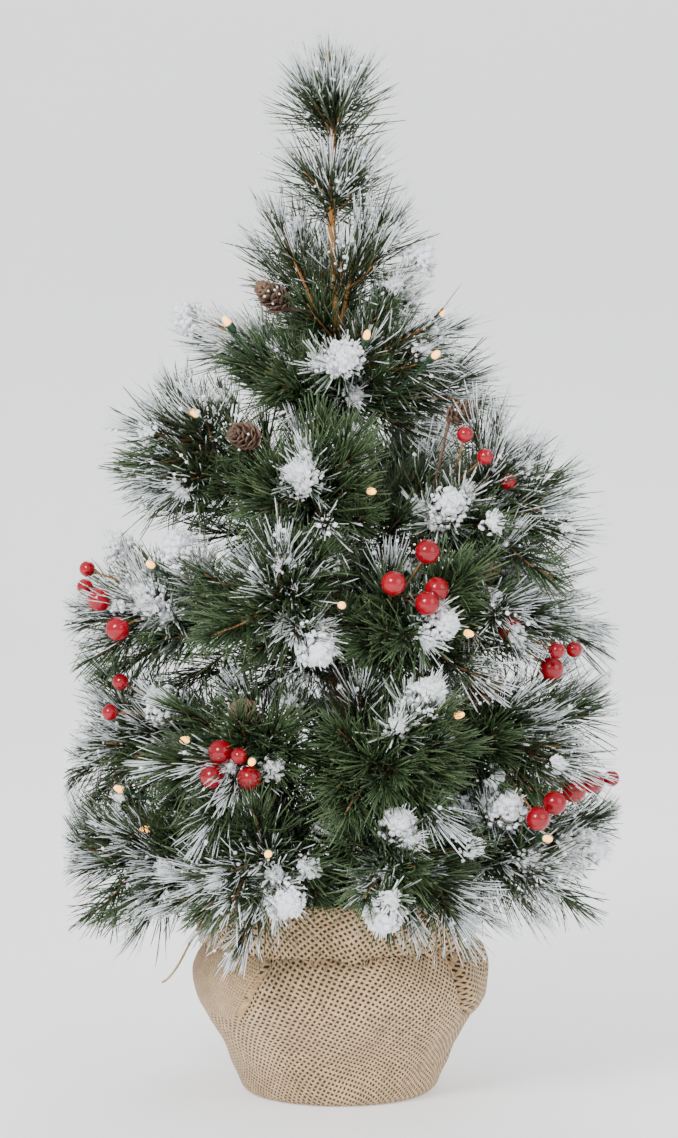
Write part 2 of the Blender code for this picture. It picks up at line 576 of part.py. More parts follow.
def make_leader():
    """The top of the tree: a stem seated in the pole, with the tips that stay fixed to it."""
    spots = [Vector((0, 0, POLE_TOP_Z - LEADER_SEAT + CLEAR)), *(leader_spot(lean) for lean in LEADER_LEAN)]
    thick = TIP_R["pine"]
    radii = (LEADER_R, LEADER_R, LEADER_R, LEADER_R, STEM_R, thick, thick * 0.5)
    leader = tube(spots, radii, 8)
    for kind, leave, azimuth, reach, height in LEADER_TIPS:
        start = Vector((0, 0, leave))
        leader = join(leader, twig(start, at(azimuth, 0.4, 1), at(azimuth, reach, height), kind))
    keep(shade(leader, 50), "leader", "foliage")


def stalk_foot(name, share, goal, stem_r):
    """Where a stalk stops short of the stem it is bound to, on the side of its goal."""
    spot = stem_point(name, share)
    along = (stem_point(name, share + 0.05) - spot).normalized()
    side = (goal - spot) - along * (goal - spot).dot(along)
    return spot + side.normalized() * (stem_r + STALK_R + CLEAR + 0.0002)


def make_cone(name):
    """A pine cone: an egg on a short stalk that is bound to its branch."""
    branch, share, azimuth, reach, height, tilt = CONES[name]
    middle = at(azimuth, reach, height)
    axis = (at(azimuth, math.cos(math.radians(tilt)), math.sin(math.radians(tilt)))).normalized()
    egg = [(-0.5, 0.30), (-0.36, 0.78), (-0.12, 1.0), (0.15, 0.94), (0.36, 0.62), (0.5, 0.2)]
    cone = tube([middle + axis * CONE_L * s for s, _ in egg], [CONE_R * r for _, r in egg], 8)
    foot = stalk_foot(branch, share, middle, LEADER_R if branch == "leader" else STEM_R)
    heel = middle - axis * CONE_L * 0.42
    keep(shade(join(cone, tube([foot, foot.lerp(heel, 0.5), heel], [STALK_R] * 3)), 60), name, "cone")


def part_foliage(branch, shapes):
    """Cut a branch's foliage clear of the wires that pass through it, given as (points, radii)."""
    name = "leader" if branch == "leader" else f"branch_{branch}"
    foliage = bpy.data.objects[name]
    for points, radii in shapes:
        foliage = cut(foliage, tube(points, [r + 1.2 * CLEAR for r in radii]))
    keep(shade(foliage, 50), name, "foliage")


def make_berries(name):
    """A sprig of berries: the stalk runs into the first berry, and the others' wires leave it one by one."""
    branch, share, berries = BERRIES[name]
    spots = [at(azimuth, reach, height) for azimuth, reach, height, _ in berries]
    middle = sum(spots, Vector()) / len(spots)
    foot = stalk_foot(branch, share, middle, STEM_R)
    fork = foot.lerp(middle, 0.35) + Vector((0, 0, SPRIG_ARCH))
    shapes = [([foot, fork, spots[0]], [STALK_R] * 3)]
    for step, spot in enumerate(spots[1:], 1):
        shapes.append(([fork.lerp(foot, STALK_STEP * step), spot], [STALK_R * 0.8] * 2))
    sprig = join(*(tube(*shape) for shape in shapes))
    for spot, (_, _, _, radius) in zip(spots, berries):
        sprig = join(sprig, ball(spot, radius))
    part_foliage(branch, shapes)
    keep(shade(sprig, 60), name, "berry")


def lamp_points(start, middle):
    """The points and radii of a lamp that a wire from start runs into: its holder, then its lens."""
    heading = (middle - start).normalized()
    parts = [(-0.5, WIRE_R), (-0.42, LAMP_R), (0.06, LAMP_R), (0.12, LAMP_R * 0.9), (0.5, LAMP_R * 0.5)]
    return [middle + heading * LAMP_L * s for s, _ in parts], [r for _, r in parts]


def lamp(start, middle):
    """The points and radii of a wire that arches from start and runs into a lamp."""
    arch = start.lerp(middle, 0.35) + Vector((0, 0, LAMP_ARCH))
    points, radii = lamp_points(arch, middle)
    return [start, arch, *points], [WIRE_R, WIRE_R, *radii]


def make_lights(name):
    """A light run: a wire that follows its branch's stem to the first lamp, with a lead to any other."""
    branch, share, lamps = LIGHTS[name]
    up = Vector((0, 0, WIRE_OFFSET))
    route = [stem_point(branch, 0.16 + (share - 0.16) * k / 4) + up for k in range(5)]
    points, radii = lamp(route[-1], at(*lamps[0]))
    shapes = [([*route[:-1], *points], [WIRE_R] * 4 + radii)]
    shapes += [lamp(route[2 - index], at(*place)) for index, place in enumerate(lamps[1:])]
    run = join(*(tube(*shape) for shape in shapes))
    part_foliage(branch, shapes)
    keep(shade(run, 50), name, "wire")


def make_lead():
    """The lead from the battery case up the pole, with the lamps that sit round the top."""
    low, high = case_box()
    side = RING_R + LEAD_R + 0.0008
    corner = Vector((high.x - 0.008, low.y + 0.005, high.z + CLEAR + LEAD_R))
    foot = high.z + LEAD_BEND
    up = [at(LEAD_AZIMUTH, side, foot + (POLE_TOP_Z - 0.005 - foot) * k / 3) for k in range(4)]
    rise = Vector((up[0].x + 0.006, up[0].y + 0.008, foot - 0.5 * LEAD_BEND))
    last = LEAD_LAMPS[0][0] - 360
    ring = [at(LEAD_AZIMUTH + (last - LEAD_AZIMUTH) * k / 7, LEAD_RING_R, LEAD_RING_Z) for k in range(8)]
    ends, radii = lamp_points(ring[-1], at(*LEAD_LAMPS[0]))
    points = [corner, corner + Vector((0, -0.008, 0.0006)), rise, *up, *ring]
    lead = tube([*points, *ends], [LEAD_R] * len(points) + radii)
    for place in LEAD_LAMPS[1:]:
        nearest = min(ring, key=lambda spot: (spot - at(*place)).length)
        lead = join(lead, tube(*lamp(nearest, at(*place))))
    keep(shade(lead, 50), "light_lead", "wire")


make_sack()
make_cuff()
make_tie()
make_block()
make_stuffing()
make_pole()
make_case()
make_leader()
for branch_name in BRANCHES:
    make_branch(branch_name)
for cone_name in CONES:
    make_cone(cone_name)
for sprig_name in BERRIES:
    make_berries(sprig_name)
for run_name in LIGHTS:
    make_lights(run_name)
make_lead()
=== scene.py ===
import math
import random

import bmesh
import bpy
import numpy as np
from mathutils import Matrix, Vector
from mathutils.noise import noise


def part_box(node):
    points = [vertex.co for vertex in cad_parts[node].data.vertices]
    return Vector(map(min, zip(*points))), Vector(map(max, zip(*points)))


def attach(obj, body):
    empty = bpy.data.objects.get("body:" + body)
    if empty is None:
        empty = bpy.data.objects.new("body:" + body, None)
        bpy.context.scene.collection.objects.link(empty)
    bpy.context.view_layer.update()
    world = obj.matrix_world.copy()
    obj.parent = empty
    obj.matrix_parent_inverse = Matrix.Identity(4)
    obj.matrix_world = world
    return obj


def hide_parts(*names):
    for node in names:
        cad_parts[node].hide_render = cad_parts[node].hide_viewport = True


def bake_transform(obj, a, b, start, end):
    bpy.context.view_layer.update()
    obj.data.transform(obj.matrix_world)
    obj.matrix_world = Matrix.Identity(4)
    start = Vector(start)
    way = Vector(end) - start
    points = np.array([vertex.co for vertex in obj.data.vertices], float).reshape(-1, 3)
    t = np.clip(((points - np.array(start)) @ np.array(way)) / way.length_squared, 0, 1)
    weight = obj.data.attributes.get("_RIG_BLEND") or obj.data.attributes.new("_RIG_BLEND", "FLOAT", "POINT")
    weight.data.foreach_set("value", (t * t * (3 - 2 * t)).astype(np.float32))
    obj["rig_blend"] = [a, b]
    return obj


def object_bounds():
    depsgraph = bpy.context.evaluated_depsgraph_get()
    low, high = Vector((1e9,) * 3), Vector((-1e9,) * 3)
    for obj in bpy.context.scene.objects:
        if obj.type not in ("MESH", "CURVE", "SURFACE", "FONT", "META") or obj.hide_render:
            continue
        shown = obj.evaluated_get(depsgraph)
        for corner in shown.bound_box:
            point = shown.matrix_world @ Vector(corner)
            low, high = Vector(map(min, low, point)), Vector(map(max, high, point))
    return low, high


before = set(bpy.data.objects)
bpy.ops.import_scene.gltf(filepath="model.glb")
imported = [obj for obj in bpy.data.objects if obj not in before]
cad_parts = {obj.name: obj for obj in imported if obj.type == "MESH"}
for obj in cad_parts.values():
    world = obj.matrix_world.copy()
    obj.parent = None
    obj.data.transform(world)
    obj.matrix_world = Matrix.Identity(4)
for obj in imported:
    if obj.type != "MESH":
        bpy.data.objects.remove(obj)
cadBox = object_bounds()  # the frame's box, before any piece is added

print("stage: frame loaded")
scene = bpy.context.scene
chance = random.Random(11)  # one seed for everything placed by chance

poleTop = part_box("pole")[1][2]
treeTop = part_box("leader")[1][2]


# small helpers

def polar(azimuth, reach, height):
    a = math.radians(azimuth)
    return Vector((reach * math.cos(a), reach * math.sin(a), height))


def bow(start, bend, end, share):  # a point on the curve that heads for bend on its way to end
    return start.lerp(bend, share).lerp(bend.lerp(end, share), share)


def sideOf(along, turn):  # a direction square to another, at a turn about it
    return Matrix.Rotation(turn, 3, along) @ along.orthogonal().normalized()


def rise(low, high, value):  # 0 below low, 1 above high, smooth between
    t = min(1.0, max(0.0, (value - low) / (high - low)))
    return t * t * (3 - 2 * t)


def meshObject(name, verts, faces, smooth=True):
    mesh = bpy.data.meshes.new(name)
    mesh.from_pydata([tuple(v) for v in verts], [], faces)
    mesh.update()
    ob = bpy.data.objects.new(name, mesh)
    scene.collection.objects.link(ob)
    if smooth:
        mesh.shade_smooth()
    return ob


def joined(name, parts):  # one object from several (verts, faces) lists
    verts, faces = [], []
    for someVerts, someFaces in parts:
        shift = len(verts)
        verts.extend(someVerts)
        faces.extend(tuple(i + shift for i in face) for face in someFaces)
    return meshObject(name, verts, faces)


def frames(points):  # a pair of side directions at each point of a path, without twist
    last = len(points) - 1
    tangents = [(points[min(i + 1, last)] - points[max(i - 1, 0)]).normalized() for i in range(last + 1)]
    side = tangents[0].orthogonal().normalized()
    out = []
    for tangent in tangents:
        side = (side - tangent * side.dot(tangent)).normalized()
        out.append((side, tangent.cross(side)))
    return out


def loft(points, radii, sides=8, twist=0.0, lobes=0.0):
    # a closed tube; with lobes it is two strands twisted together, twist turns per metre
    verts, faces, gone = [], [], 0.0
    for i, (point, (a, b)) in enumerate(zip(points, frames(points))):
        if i:
            gone += (points[i] - points[i - 1]).length
        for k in range(sides):
            turn = math.tau * k / sides
            radius = radii[i] * (1 + lobes * math.cos(2 * (turn - math.tau * twist * gone)))
            verts.append(point + (a * math.cos(turn) + b * math.sin(turn)) * radius)
    for i in range(len(points) - 1):
        for k in range(sides):
            j = (k + 1) % sides
            faces.append((i * sides + k, i * sides + j, (i + 1) * sides + j, (i + 1) * sides + k))
    faces.append(tuple(range(sides))[::-1])
    last = (len(points) - 1) * sides
    faces.append(tuple(range(last, last + sides)))
    return verts, faces


# Geometry Nodes helpers

def startTree(name, inputs):
    tree = bpy.data.node_groups.new(name, "GeometryNodeTree")
    tree.is_modifier = True
    tree.interface.new_socket("Geometry", in_out="INPUT", socket_type="NodeSocketGeometry")
    for label, kind, value in inputs:
        socket = tree.interface.new_socket(label, in_out="INPUT", socket_type=f"NodeSocket{kind}")
        if value is not None:
            socket.default_value = value
    tree.interface.new_socket("Geometry", in_out="OUTPUT", socket_type="NodeSocketGeometry")
    return tree, tree.nodes.new("NodeGroupInput"), tree.nodes.new("NodeGroupOutput")


def step(tree, kind, inputs=None, **settings):  # one node, its settings, and what feeds its sockets
    node = tree.nodes.new(kind)
    for key, value in settings.items():
        setattr(node, key, value)
    for key, value in (inputs or {}).items():
        if isinstance(value, bpy.types.NodeSocket):
            tree.links.new(value, node.inputs[key])
        else:
            node.inputs[key].default_value = value
    return node


def maths(tree, operation, *values):
    return step(tree, "ShaderNodeMath", dict(enumerate(values)), operation=operation).outputs[0]


def plus(tree, a, b):
    return maths(tree, "ADD", a, b)


def minus(tree, a, b):
    return maths(tree, "SUBTRACT", a, b)


def times(tree, a, b):
    return maths(tree, "MULTIPLY", a, b)


def vectorMaths(tree, operation, inputs):
    return step(tree, "ShaderNodeVectorMath", inputs, operation=operation).outputs[0]


def mapped(tree, value, low, high, top=1.0, how="LINEAR"):  # 0 at low, top at high
    ends = {0: value, 1: low, 2: high, 3: 0.0, 4: top}
    return step(tree, "ShaderNodeMapRange", ends, interpolation_type=how).outputs[0]


def chanceValue(tree, low, high, seed):
    return step(tree, "FunctionNodeRandomValue", {2: low, 3: high, 8: seed}).outputs[1]


def grown(ob, tree, values, name):  # runs a tree on an object and keeps the plain mesh
    modifier = ob.modifiers.new("grow", "NODES")
    modifier.node_group = tree
    sockets = {}
    for item in tree.interface.items_tree:
        if item.item_type == "SOCKET" and item.in_out == "INPUT":
            sockets[item.name] = item.identifier
    for label, value in values.items():
        modifier[sockets[label]] = value
    ob.update_tag()
    shown = ob.evaluated_get(bpy.context.evaluated_depsgraph_get())
    mesh = bpy.data.meshes.new_from_object(shown)
    mesh.name = name
    ob.modifiers.remove(modifier)
    out = bpy.data.objects.new(name, mesh)
    scene.collection.objects.link(out)
    return out


def swung(tree, rotation, angles):  # a rotation turned further about its own axes
    euler = step(tree, "ShaderNodeCombineXYZ", angles)
    turn = step(tree, "FunctionNodeEulerToRotation", {0: euler.outputs[0]})
    both = {0: rotation.outputs[0], 1: turn.outputs[0]}
    return step(tree, "FunctionNodeRotateRotation", both, rotation_space="LOCAL")


def marked(tree, geometry, name, value):  # a number kept on each instance
    given = {"Geometry": geometry.outputs[0], "Name": name, "Value": value}
    return step(tree, "GeometryNodeStoreNamedAttribute", given, data_type="FLOAT", domain="INSTANCE")


def finished(tree, last, material, groupOut):
    real = step(tree, "GeometryNodeRealizeInstances", {"Geometry": last})
    coat = step(tree, "GeometryNodeSetMaterial", {"Geometry": real.outputs[0], "Material": material})
    tree.links.new(coat.outputs[0], groupOut.inputs[0])


# needles along stems: each stem is a chain of edges
def needleTree():
    tree, given, out = startTree("needlesAlongStems", [
        ("Spacing", "Float", 0.0015), ("Per Ring", "Int", 3), ("Length", "Float", 0.03),
        ("Spread", "Float", 0.25), ("Splay Low", "Float", 1.0), ("Splay High", "Float", 0.3),
        ("Splay Chance", "Float", 0.25), ("Curl Turn", "Float", 0.8), ("Seed", "Int", 1),
        ("Needle", "Object", None), ("Material", "Material", None)])
    curve = step(tree, "GeometryNodeMeshToCurve", {0: given.outputs["Geometry"]})
    keep = tree.nodes.new("GeometryNodeCaptureAttribute")
    keep.capture_items.new("FLOAT", "Factor")
    tree.links.new(curve.outputs[0], keep.inputs[0])
    tree.links.new(tree.nodes.new("GeometryNodeSplineParameter").outputs["Factor"], keep.inputs[1])
    factor = keep.outputs[1]
    points = step(tree, "GeometryNodeCurveToPoints",
                  {"Curve": keep.outputs[0], "Length": given.outputs["Spacing"]}, mode="LENGTH")
    many = step(tree, "GeometryNodeDuplicateElements",
                {"Geometry": points.outputs["Points"], "Amount": given.outputs["Per Ring"]}, domain="POINT")
    seed = given.outputs["Seed"]
    roll = chanceValue(tree, 0.0, math.tau, seed)
    lean = step(tree, "ShaderNodeMix",
                {0: factor, 2: given.outputs["Splay Low"], 3: given.outputs["Splay High"]})
    wobble = times(tree, given.outputs["Splay Chance"], chanceValue(tree, -1.0, 1.0, plus(tree, seed, 3)))
    splay = plus(tree, lean.outputs[0], wobble)
    along = step(tree, "FunctionNodeAlignRotationToVector", {"Vector": points.outputs["Tangent"]}, axis="Z")
    rolled = swung(tree, along, {2: roll})
    tilted = swung(tree, rolled, {0: splay})
    curl = times(tree, given.outputs["Curl Turn"], chanceValue(tree, -1.0, 1.0, plus(tree, seed, 4)))
    turned = swung(tree, tilted, {2: curl})
    vary = times(tree, given.outputs["Spread"], chanceValue(tree, -1.0, 1.0, plus(tree, seed, 5)))
    shrink = minus(tree, 1.0, times(tree, maths(tree, "POWER", factor, 2.0), 0.35))
    length = times(tree, given.outputs["Length"], times(tree, shrink, plus(tree, vary, 1.0)))
    shape = step(tree, "GeometryNodeObjectInfo", {"Object": given.outputs["Needle"]})
    placed = step(tree, "GeometryNodeInstanceOnPoints", {
        "Points": many.outputs[0], "Instance": shape.outputs["Geometry"], "Rotation": turned.outputs[0],
        "Scale": length})
    picked = marked(tree, placed, "pick", chanceValue(tree, 0.0, 1.0, plus(tree, seed, 7)))
    finished(tree, marked(tree, picked, "upStem", factor).outputs[0], given.outputs["Material"], out)
    return tree


# lumps of snow that sit on needles, past a share of the stem and of the needle
def snowTree():
    tree, given, out = startTree("snowOnNeedles", [
        ("Density", "Float", 8000.0), ("Size", "Float", 0.001), ("Size Spread", "Float", 0.5),
        ("Past Stem", "Float", 0.0), ("Past Needle", "Float", 0.4), ("Seed", "Int", 1),
        ("Lump", "Object", None), ("Material", "Material", None)])
    upStem = step(tree, "GeometryNodeInputNamedAttribute", {"Name": "upStem"}, data_type="FLOAT").outputs[0]
    along = step(tree, "GeometryNodeInputNamedAttribute", {"Name": "along"}, data_type="FLOAT").outputs[0]
    high = maths(tree, "GREATER_THAN", upStem, given.outputs["Past Stem"])
    far = maths(tree, "GREATER_THAN", along, given.outputs["Past Needle"])
    clumps = step(tree, "ShaderNodeTexNoise", {"Scale": 75.0, "Detail": 1.0}).outputs[0]
    clumped = maths(tree, "GREATER_THAN", clumps, 0.53)
    both = times(tree, times(tree, high, far), clumped)
    seed = given.outputs["Seed"]
    dots = step(tree, "GeometryNodeDistributePointsOnFaces", {
        "Mesh": given.outputs["Geometry"], "Selection": both, "Density": given.outputs["Density"],
        "Seed": seed})
    vary = times(tree, given.outputs["Size Spread"], chanceValue(tree, -1.0, 1.0, plus(tree, seed, 1)))
    size = times(tree, given.outputs["Size"], plus(tree, vary, 1.0))
    turn = step(tree, "ShaderNodeCombineXYZ", {
        0: chanceValue(tree, 0.0, math.tau, plus(tree, seed, 2)),
        1: chanceValue(tree, 0.0, math.tau, plus(tree, seed, 3))})
    shape = step(tree, "GeometryNodeObjectInfo", {"Object": given.outputs["Lump"]})
    placed = step(tree, "GeometryNodeInstanceOnPoints", {
        "Points": dots.outputs["Points"], "Instance": shape.outputs["Geometry"],
        "Rotation": step(tree, "FunctionNodeEulerToRotation", {0: turn.outputs[0]}).outputs[0],
        "Scale": size})
    picked = marked(tree, placed, "pick", chanceValue(tree, 0.0, 1.0, plus(tree, seed, 4)))
    finished(tree, picked.outputs[0], given.outputs["Material"], out)
    return tree


def bladeShape(name, halfWidth, halfThick, curl, sides=3):
    # one needle, a unit long up Z, curled towards the stem it leans from, with a blunt end
    verts, along, side, faces = [], [], [], []
    stations = ((0.0, 0.75), (0.45, 1.05), (0.92, 0.75))  # height and share of the full width
    rows = len(stations)
    for t, width in stations:
        for k in range(sides):
            turn = math.tau * k / sides
            bent = halfThick * math.sin(turn) * width + curl * t * t
            verts.append((halfWidth * math.cos(turn) * width, bent, t))
            along.append(t)
            side.append(k / (sides - 1))
    verts.append((0, curl, 1))
    along.append(1.0)
    side.append(0.5)
    for row in range(rows - 1):
        for k in range(sides):
            j = (k + 1) % sides
            faces.append((row * sides + k, row * sides + j, (row + 1) * sides + j, (row + 1) * sides + k))
    top, tip = (rows - 1) * sides, rows * sides
    faces += [(top + k, top + (k + 1) % sides, tip) for k in range(sides)]
    faces.append(tuple(range(sides))[::-1])
    ob = meshObject(name, verts, faces)
    for label, values in (("along", along), ("side", side)):
        ob.data.attributes.new(label, "FLOAT", "POINT").data.foreach_set("value", values)
    return ob


def lumpShape(name, fine):
    bm = bmesh.new()
    bmesh.ops.create_icosphere(bm, subdivisions=fine, radius=1)
    for v in bm.verts:
        v.co *= chance.uniform(0.7, 1.25)
    mesh = bpy.data.meshes.new(name)
    bm.to_mesh(mesh)
    bm.free()
    mesh.shade_smooth()
    ob = bpy.data.objects.new(name, mesh)
    scene.collection.objects.link(ob)
    for label, axis in (("along", 2), ("side", 0)):
        values = [min(1.0, max(0.0, 0.5 + v.co[axis] / 2.6)) for v in mesh.vertices]
        ob.data.attributes.new(label, "FLOAT", "POINT").data.foreach_set("value", values)
    return ob


reachPast = 0.0085  # how far a needle's end may pass the frame's box


def heldIn(places):  # draws the outermost points in, so that the tree keeps to its size
    for axis in (0, 1, 2):
        for sign, edge in ((1, cadBox[1][axis]), (-1, -cadBox[0][axis])):
            if axis == 2 and sign < 0:
                continue
            past = 0.001 if axis == 2 else reachPast
            start = edge - 0.010
            room = edge + past - start
            over = places[:, axis] * sign - start
            far = over > 0
            places[far, axis] = sign * (start + room * (1 - np.exp(-over[far] / room)))
    return places


def holdMesh(mesh):
    places = np.empty(len(mesh.vertices) * 3, np.float32)
    mesh.vertices.foreach_get("co", places)
    mesh.vertices.foreach_set("co", heldIn(places.reshape(-1, 3)).ravel())
    mesh.update()


mapCells = 64  # each needle or lump takes one column of its colour map


def layOut(ob, split=0.5):
    # gives every needle its place on the colour map: a column by chance, its length up the column
    mesh = ob.data
    holdMesh(mesh)
    count = len(mesh.vertices)
    read = {}
    for label in ("pick", "upStem", "along", "side"):
        attribute = mesh.attributes.get(label)
        values = np.zeros(count, np.float32)
        if attribute is not None:
            attribute.data.foreach_get("value", values)
        read[label] = values
    half = mapCells // 2
    column = np.clip(np.floor(read["pick"] * half), 0, half - 1) + np.where(read["upStem"] > split, half, 0)
    u = (column + 0.15 + 0.7 * read["side"]) / mapCells
    v = 0.02 + 0.96 * read["along"]
    corner = np.empty(len(mesh.loops), np.int32)
    mesh.loops.foreach_get("vertex_index", corner)
    flat = np.stack([u[corner], v[corner]], axis=1).astype(np.float32).ravel()
    for label in list(mesh.attributes.keys()):
        if label in read:
            mesh.attributes.remove(mesh.attributes[label])
    for old in list(mesh.uv_layers):
        mesh.uv_layers.remove(old)
    for layer in ("colourMap", "OFBake"):
        mesh.uv_layers.new(name=layer).data.foreach_set("uv", flat)
    return ob


# materials

def startMaterial(name, roughness, **sockets):
    mat = bpy.data.materials.new(name)
    mat.use_nodes = True
    tree = mat.node_tree
    shader = tree.nodes["Principled BSDF"]
    shader.inputs["Roughness"].default_value = roughness
    for label, value in sockets.items():
        shader.inputs[label.replace("_", " ")].default_value = value
    return mat, tree, shader


def noiseNode(tree, scale, detail=3.0, roughness=0.6, vector=None):
    vector = vector or step(tree, "ShaderNodeTexCoord").outputs["Object"]
    given = {"Vector": vector, "Scale": scale, "Detail": detail, "Roughness": roughness}
    return step(tree, "ShaderNodeTexNoise", given)


def ramp(tree, value, stops):
    node = step(tree, "ShaderNodeValToRGB", {0: value})
    line = node.color_ramp
    while len(line.elements) < len(stops):
        line.elements.new(0.5)
    for element, (spot, colour) in zip(line.elements, stops):
        element.position = spot
        element.color = (*colour, 1) if len(colour) == 3 else colour
    return node.outputs[0]


def mixColour(tree, share, first, second, how="MIX"):
    node = step(tree, "ShaderNodeMix", {0: share}, data_type="RGBA", blend_type=how)
    for key, value in ((6, first), (7, second)):
        if isinstance(value, bpy.types.NodeSocket):
            tree.links.new(value, node.inputs[key])
        else:
            node.inputs[key].default_value = (*value, 1)
    return node.outputs[2]


def bumpFrom(tree, shader, height, distance, strength=1.0):
    node = step(tree, "ShaderNodeBump", {"Strength": strength, "Distance": distance, "Height": height})
    tree.links.new(node.outputs[0], shader.inputs["Normal"])


def mottled(name, dark, light, roughness, grain, bump, **sockets):
    # a plain finish with two sizes of mottling and a fine grain
    mat, tree, shader = startMaterial(name, roughness, **sockets)
    broad = noiseNode(tree, grain * 0.15, 2.0)
    fine = noiseNode(tree, grain, 4.0)
    share = plus(tree, times(tree, broad.outputs[0], 0.6), times(tree, fine.outputs[0], 0.5))
    tree.links.new(ramp(tree, share, [(0.35, dark), (0.75, light)]), shader.inputs["Base Color"])
    bumpFrom(tree, shader, fine.outputs[0], bump)
    return mat


def needleMaterial(name, tonesPaintedRootShade, frost, frostFrom, icyShift, roughness=0.5):
    # tones from root to end of a needle, darker towards the root as painted shade of the foliage's inside,
    # then frost that begins at a different height on each one
    mat, tree, shader = startMaterial(name, roughness, Specular_IOR_Level=0.4)
    place = step(tree, "ShaderNodeUVMap", uv_map="colourMap")
    split = step(tree, "ShaderNodeSeparateXYZ", {0: place.outputs[0]})
    across, up = split.outputs[0], split.outputs[1]
    column = maths(tree, "FLOOR", times(tree, across, float(mapCells)))
    pick = step(tree, "ShaderNodeTexWhiteNoise", {1: plus(tree, column, 0.37)}, noise_dimensions="1D")
    pick = pick.outputs[0]
    # the dark root end of this ramp is painted shade: each needle goes darker where it sits deep in the
    # foliage
    body = ramp(tree, up, [(0.0, tonesPaintedRootShade[0]), (0.4, tonesPaintedRootShade[1]), (1.0, tonesPaintedRootShade[2])])
    shade = plus(tree, times(tree, pick, 0.9), 0.55)
    grey = step(tree, "ShaderNodeCombineXYZ", {0: shade, 1: shade, 2: shade}).outputs[0]
    toned = mixColour(tree, 1.0, body, grey, "MULTIPLY")
    outer = maths(tree, "GREATER_THAN", across, 0.5)
    start = minus(tree, plus(tree, frostFrom, times(tree, pick, 0.45)), times(tree, outer, icyShift))
    flecks = noiseNode(tree, 900.0, 2.0)
    edge = plus(tree, minus(tree, up, start), times(tree, minus(tree, flecks.outputs[0], 0.5), 0.5))
    iced = mapped(tree, edge, 0.0, 0.22)
    tree.links.new(mixColour(tree, iced, toned, frost), shader.inputs["Base Color"])
    bumpFrom(tree, shader, flecks.outputs[0], 0.0003)
    return mat


# the first tone of each needle list is painted shade at the needle's root; the pale end of the flocked tones
# is the flocking's own white
looks = {
    "pineTonesPaintedRootShade": [(0.016, 0.028, 0.009), (0.032, 0.052, 0.017), (0.062, 0.085, 0.038)],
    "tinselTonesPaintedRootShade": [(0.011, 0.026, 0.009), (0.033, 0.064, 0.022), (0.095, 0.145, 0.062)],
    "flockTonesPaintedRootShade": [(0.030, 0.070, 0.025), (0.075, 0.135, 0.060), (0.55, 0.60, 0.56)],
    "frost": (0.80, 0.84, 0.86),
    "snow": (0.96, 0.965, 0.98),
}
pineMat = needleMaterial("pineNeedles", looks["pineTonesPaintedRootShade"], looks["frost"], 0.62, 0.38)
tinselMat = needleMaterial("tinselNeedles", looks["tinselTonesPaintedRootShade"], looks["frost"], 1.10, 0.22, 0.42)
flockMat = needleMaterial("flockedNeedles", looks["flockTonesPaintedRootShade"], looks["snow"], 0.85, 0.85, 0.8)
snowMat = mottled("flockSnow", (0.78, 0.80, 0.84), looks["snow"], 0.9, 900.0, 0.0004)


def stemMaterial(name, dark, light, fleck):
    # paper tape wound round a wire, with green and pale flecks caught in it
    mat, tree, shader = startMaterial(name, 0.8)
    fibres = noiseNode(tree, 1400.0, 4.0, 0.7)
    broad = noiseNode(tree, 90.0, 2.0)
    body = ramp(tree, plus(tree, times(tree, fibres.outputs[0], 0.6), times(tree, broad.outputs[0], 0.4)),
                [(0.3, dark), (0.7, light)])
    spots = mapped(tree, noiseNode(tree, 420.0, 2.0).outputs[0], 0.6, 0.68, 0.7)
    tree.links.new(mixColour(tree, spots, body, fleck), shader.inputs["Base Color"])
    bumpFrom(tree, shader, fibres.outputs[0], 0.0006)
    return mat


leaderMat = stemMaterial("wrappedStem", (0.22, 0.08, 0.015), (0.58, 0.27, 0.07), (0.50, 0.46, 0.36))
twigMat = stemMaterial("wrappedTwig", (0.090, 0.042, 0.012), (0.36, 0.17, 0.050), (0.45, 0.48, 0.44))


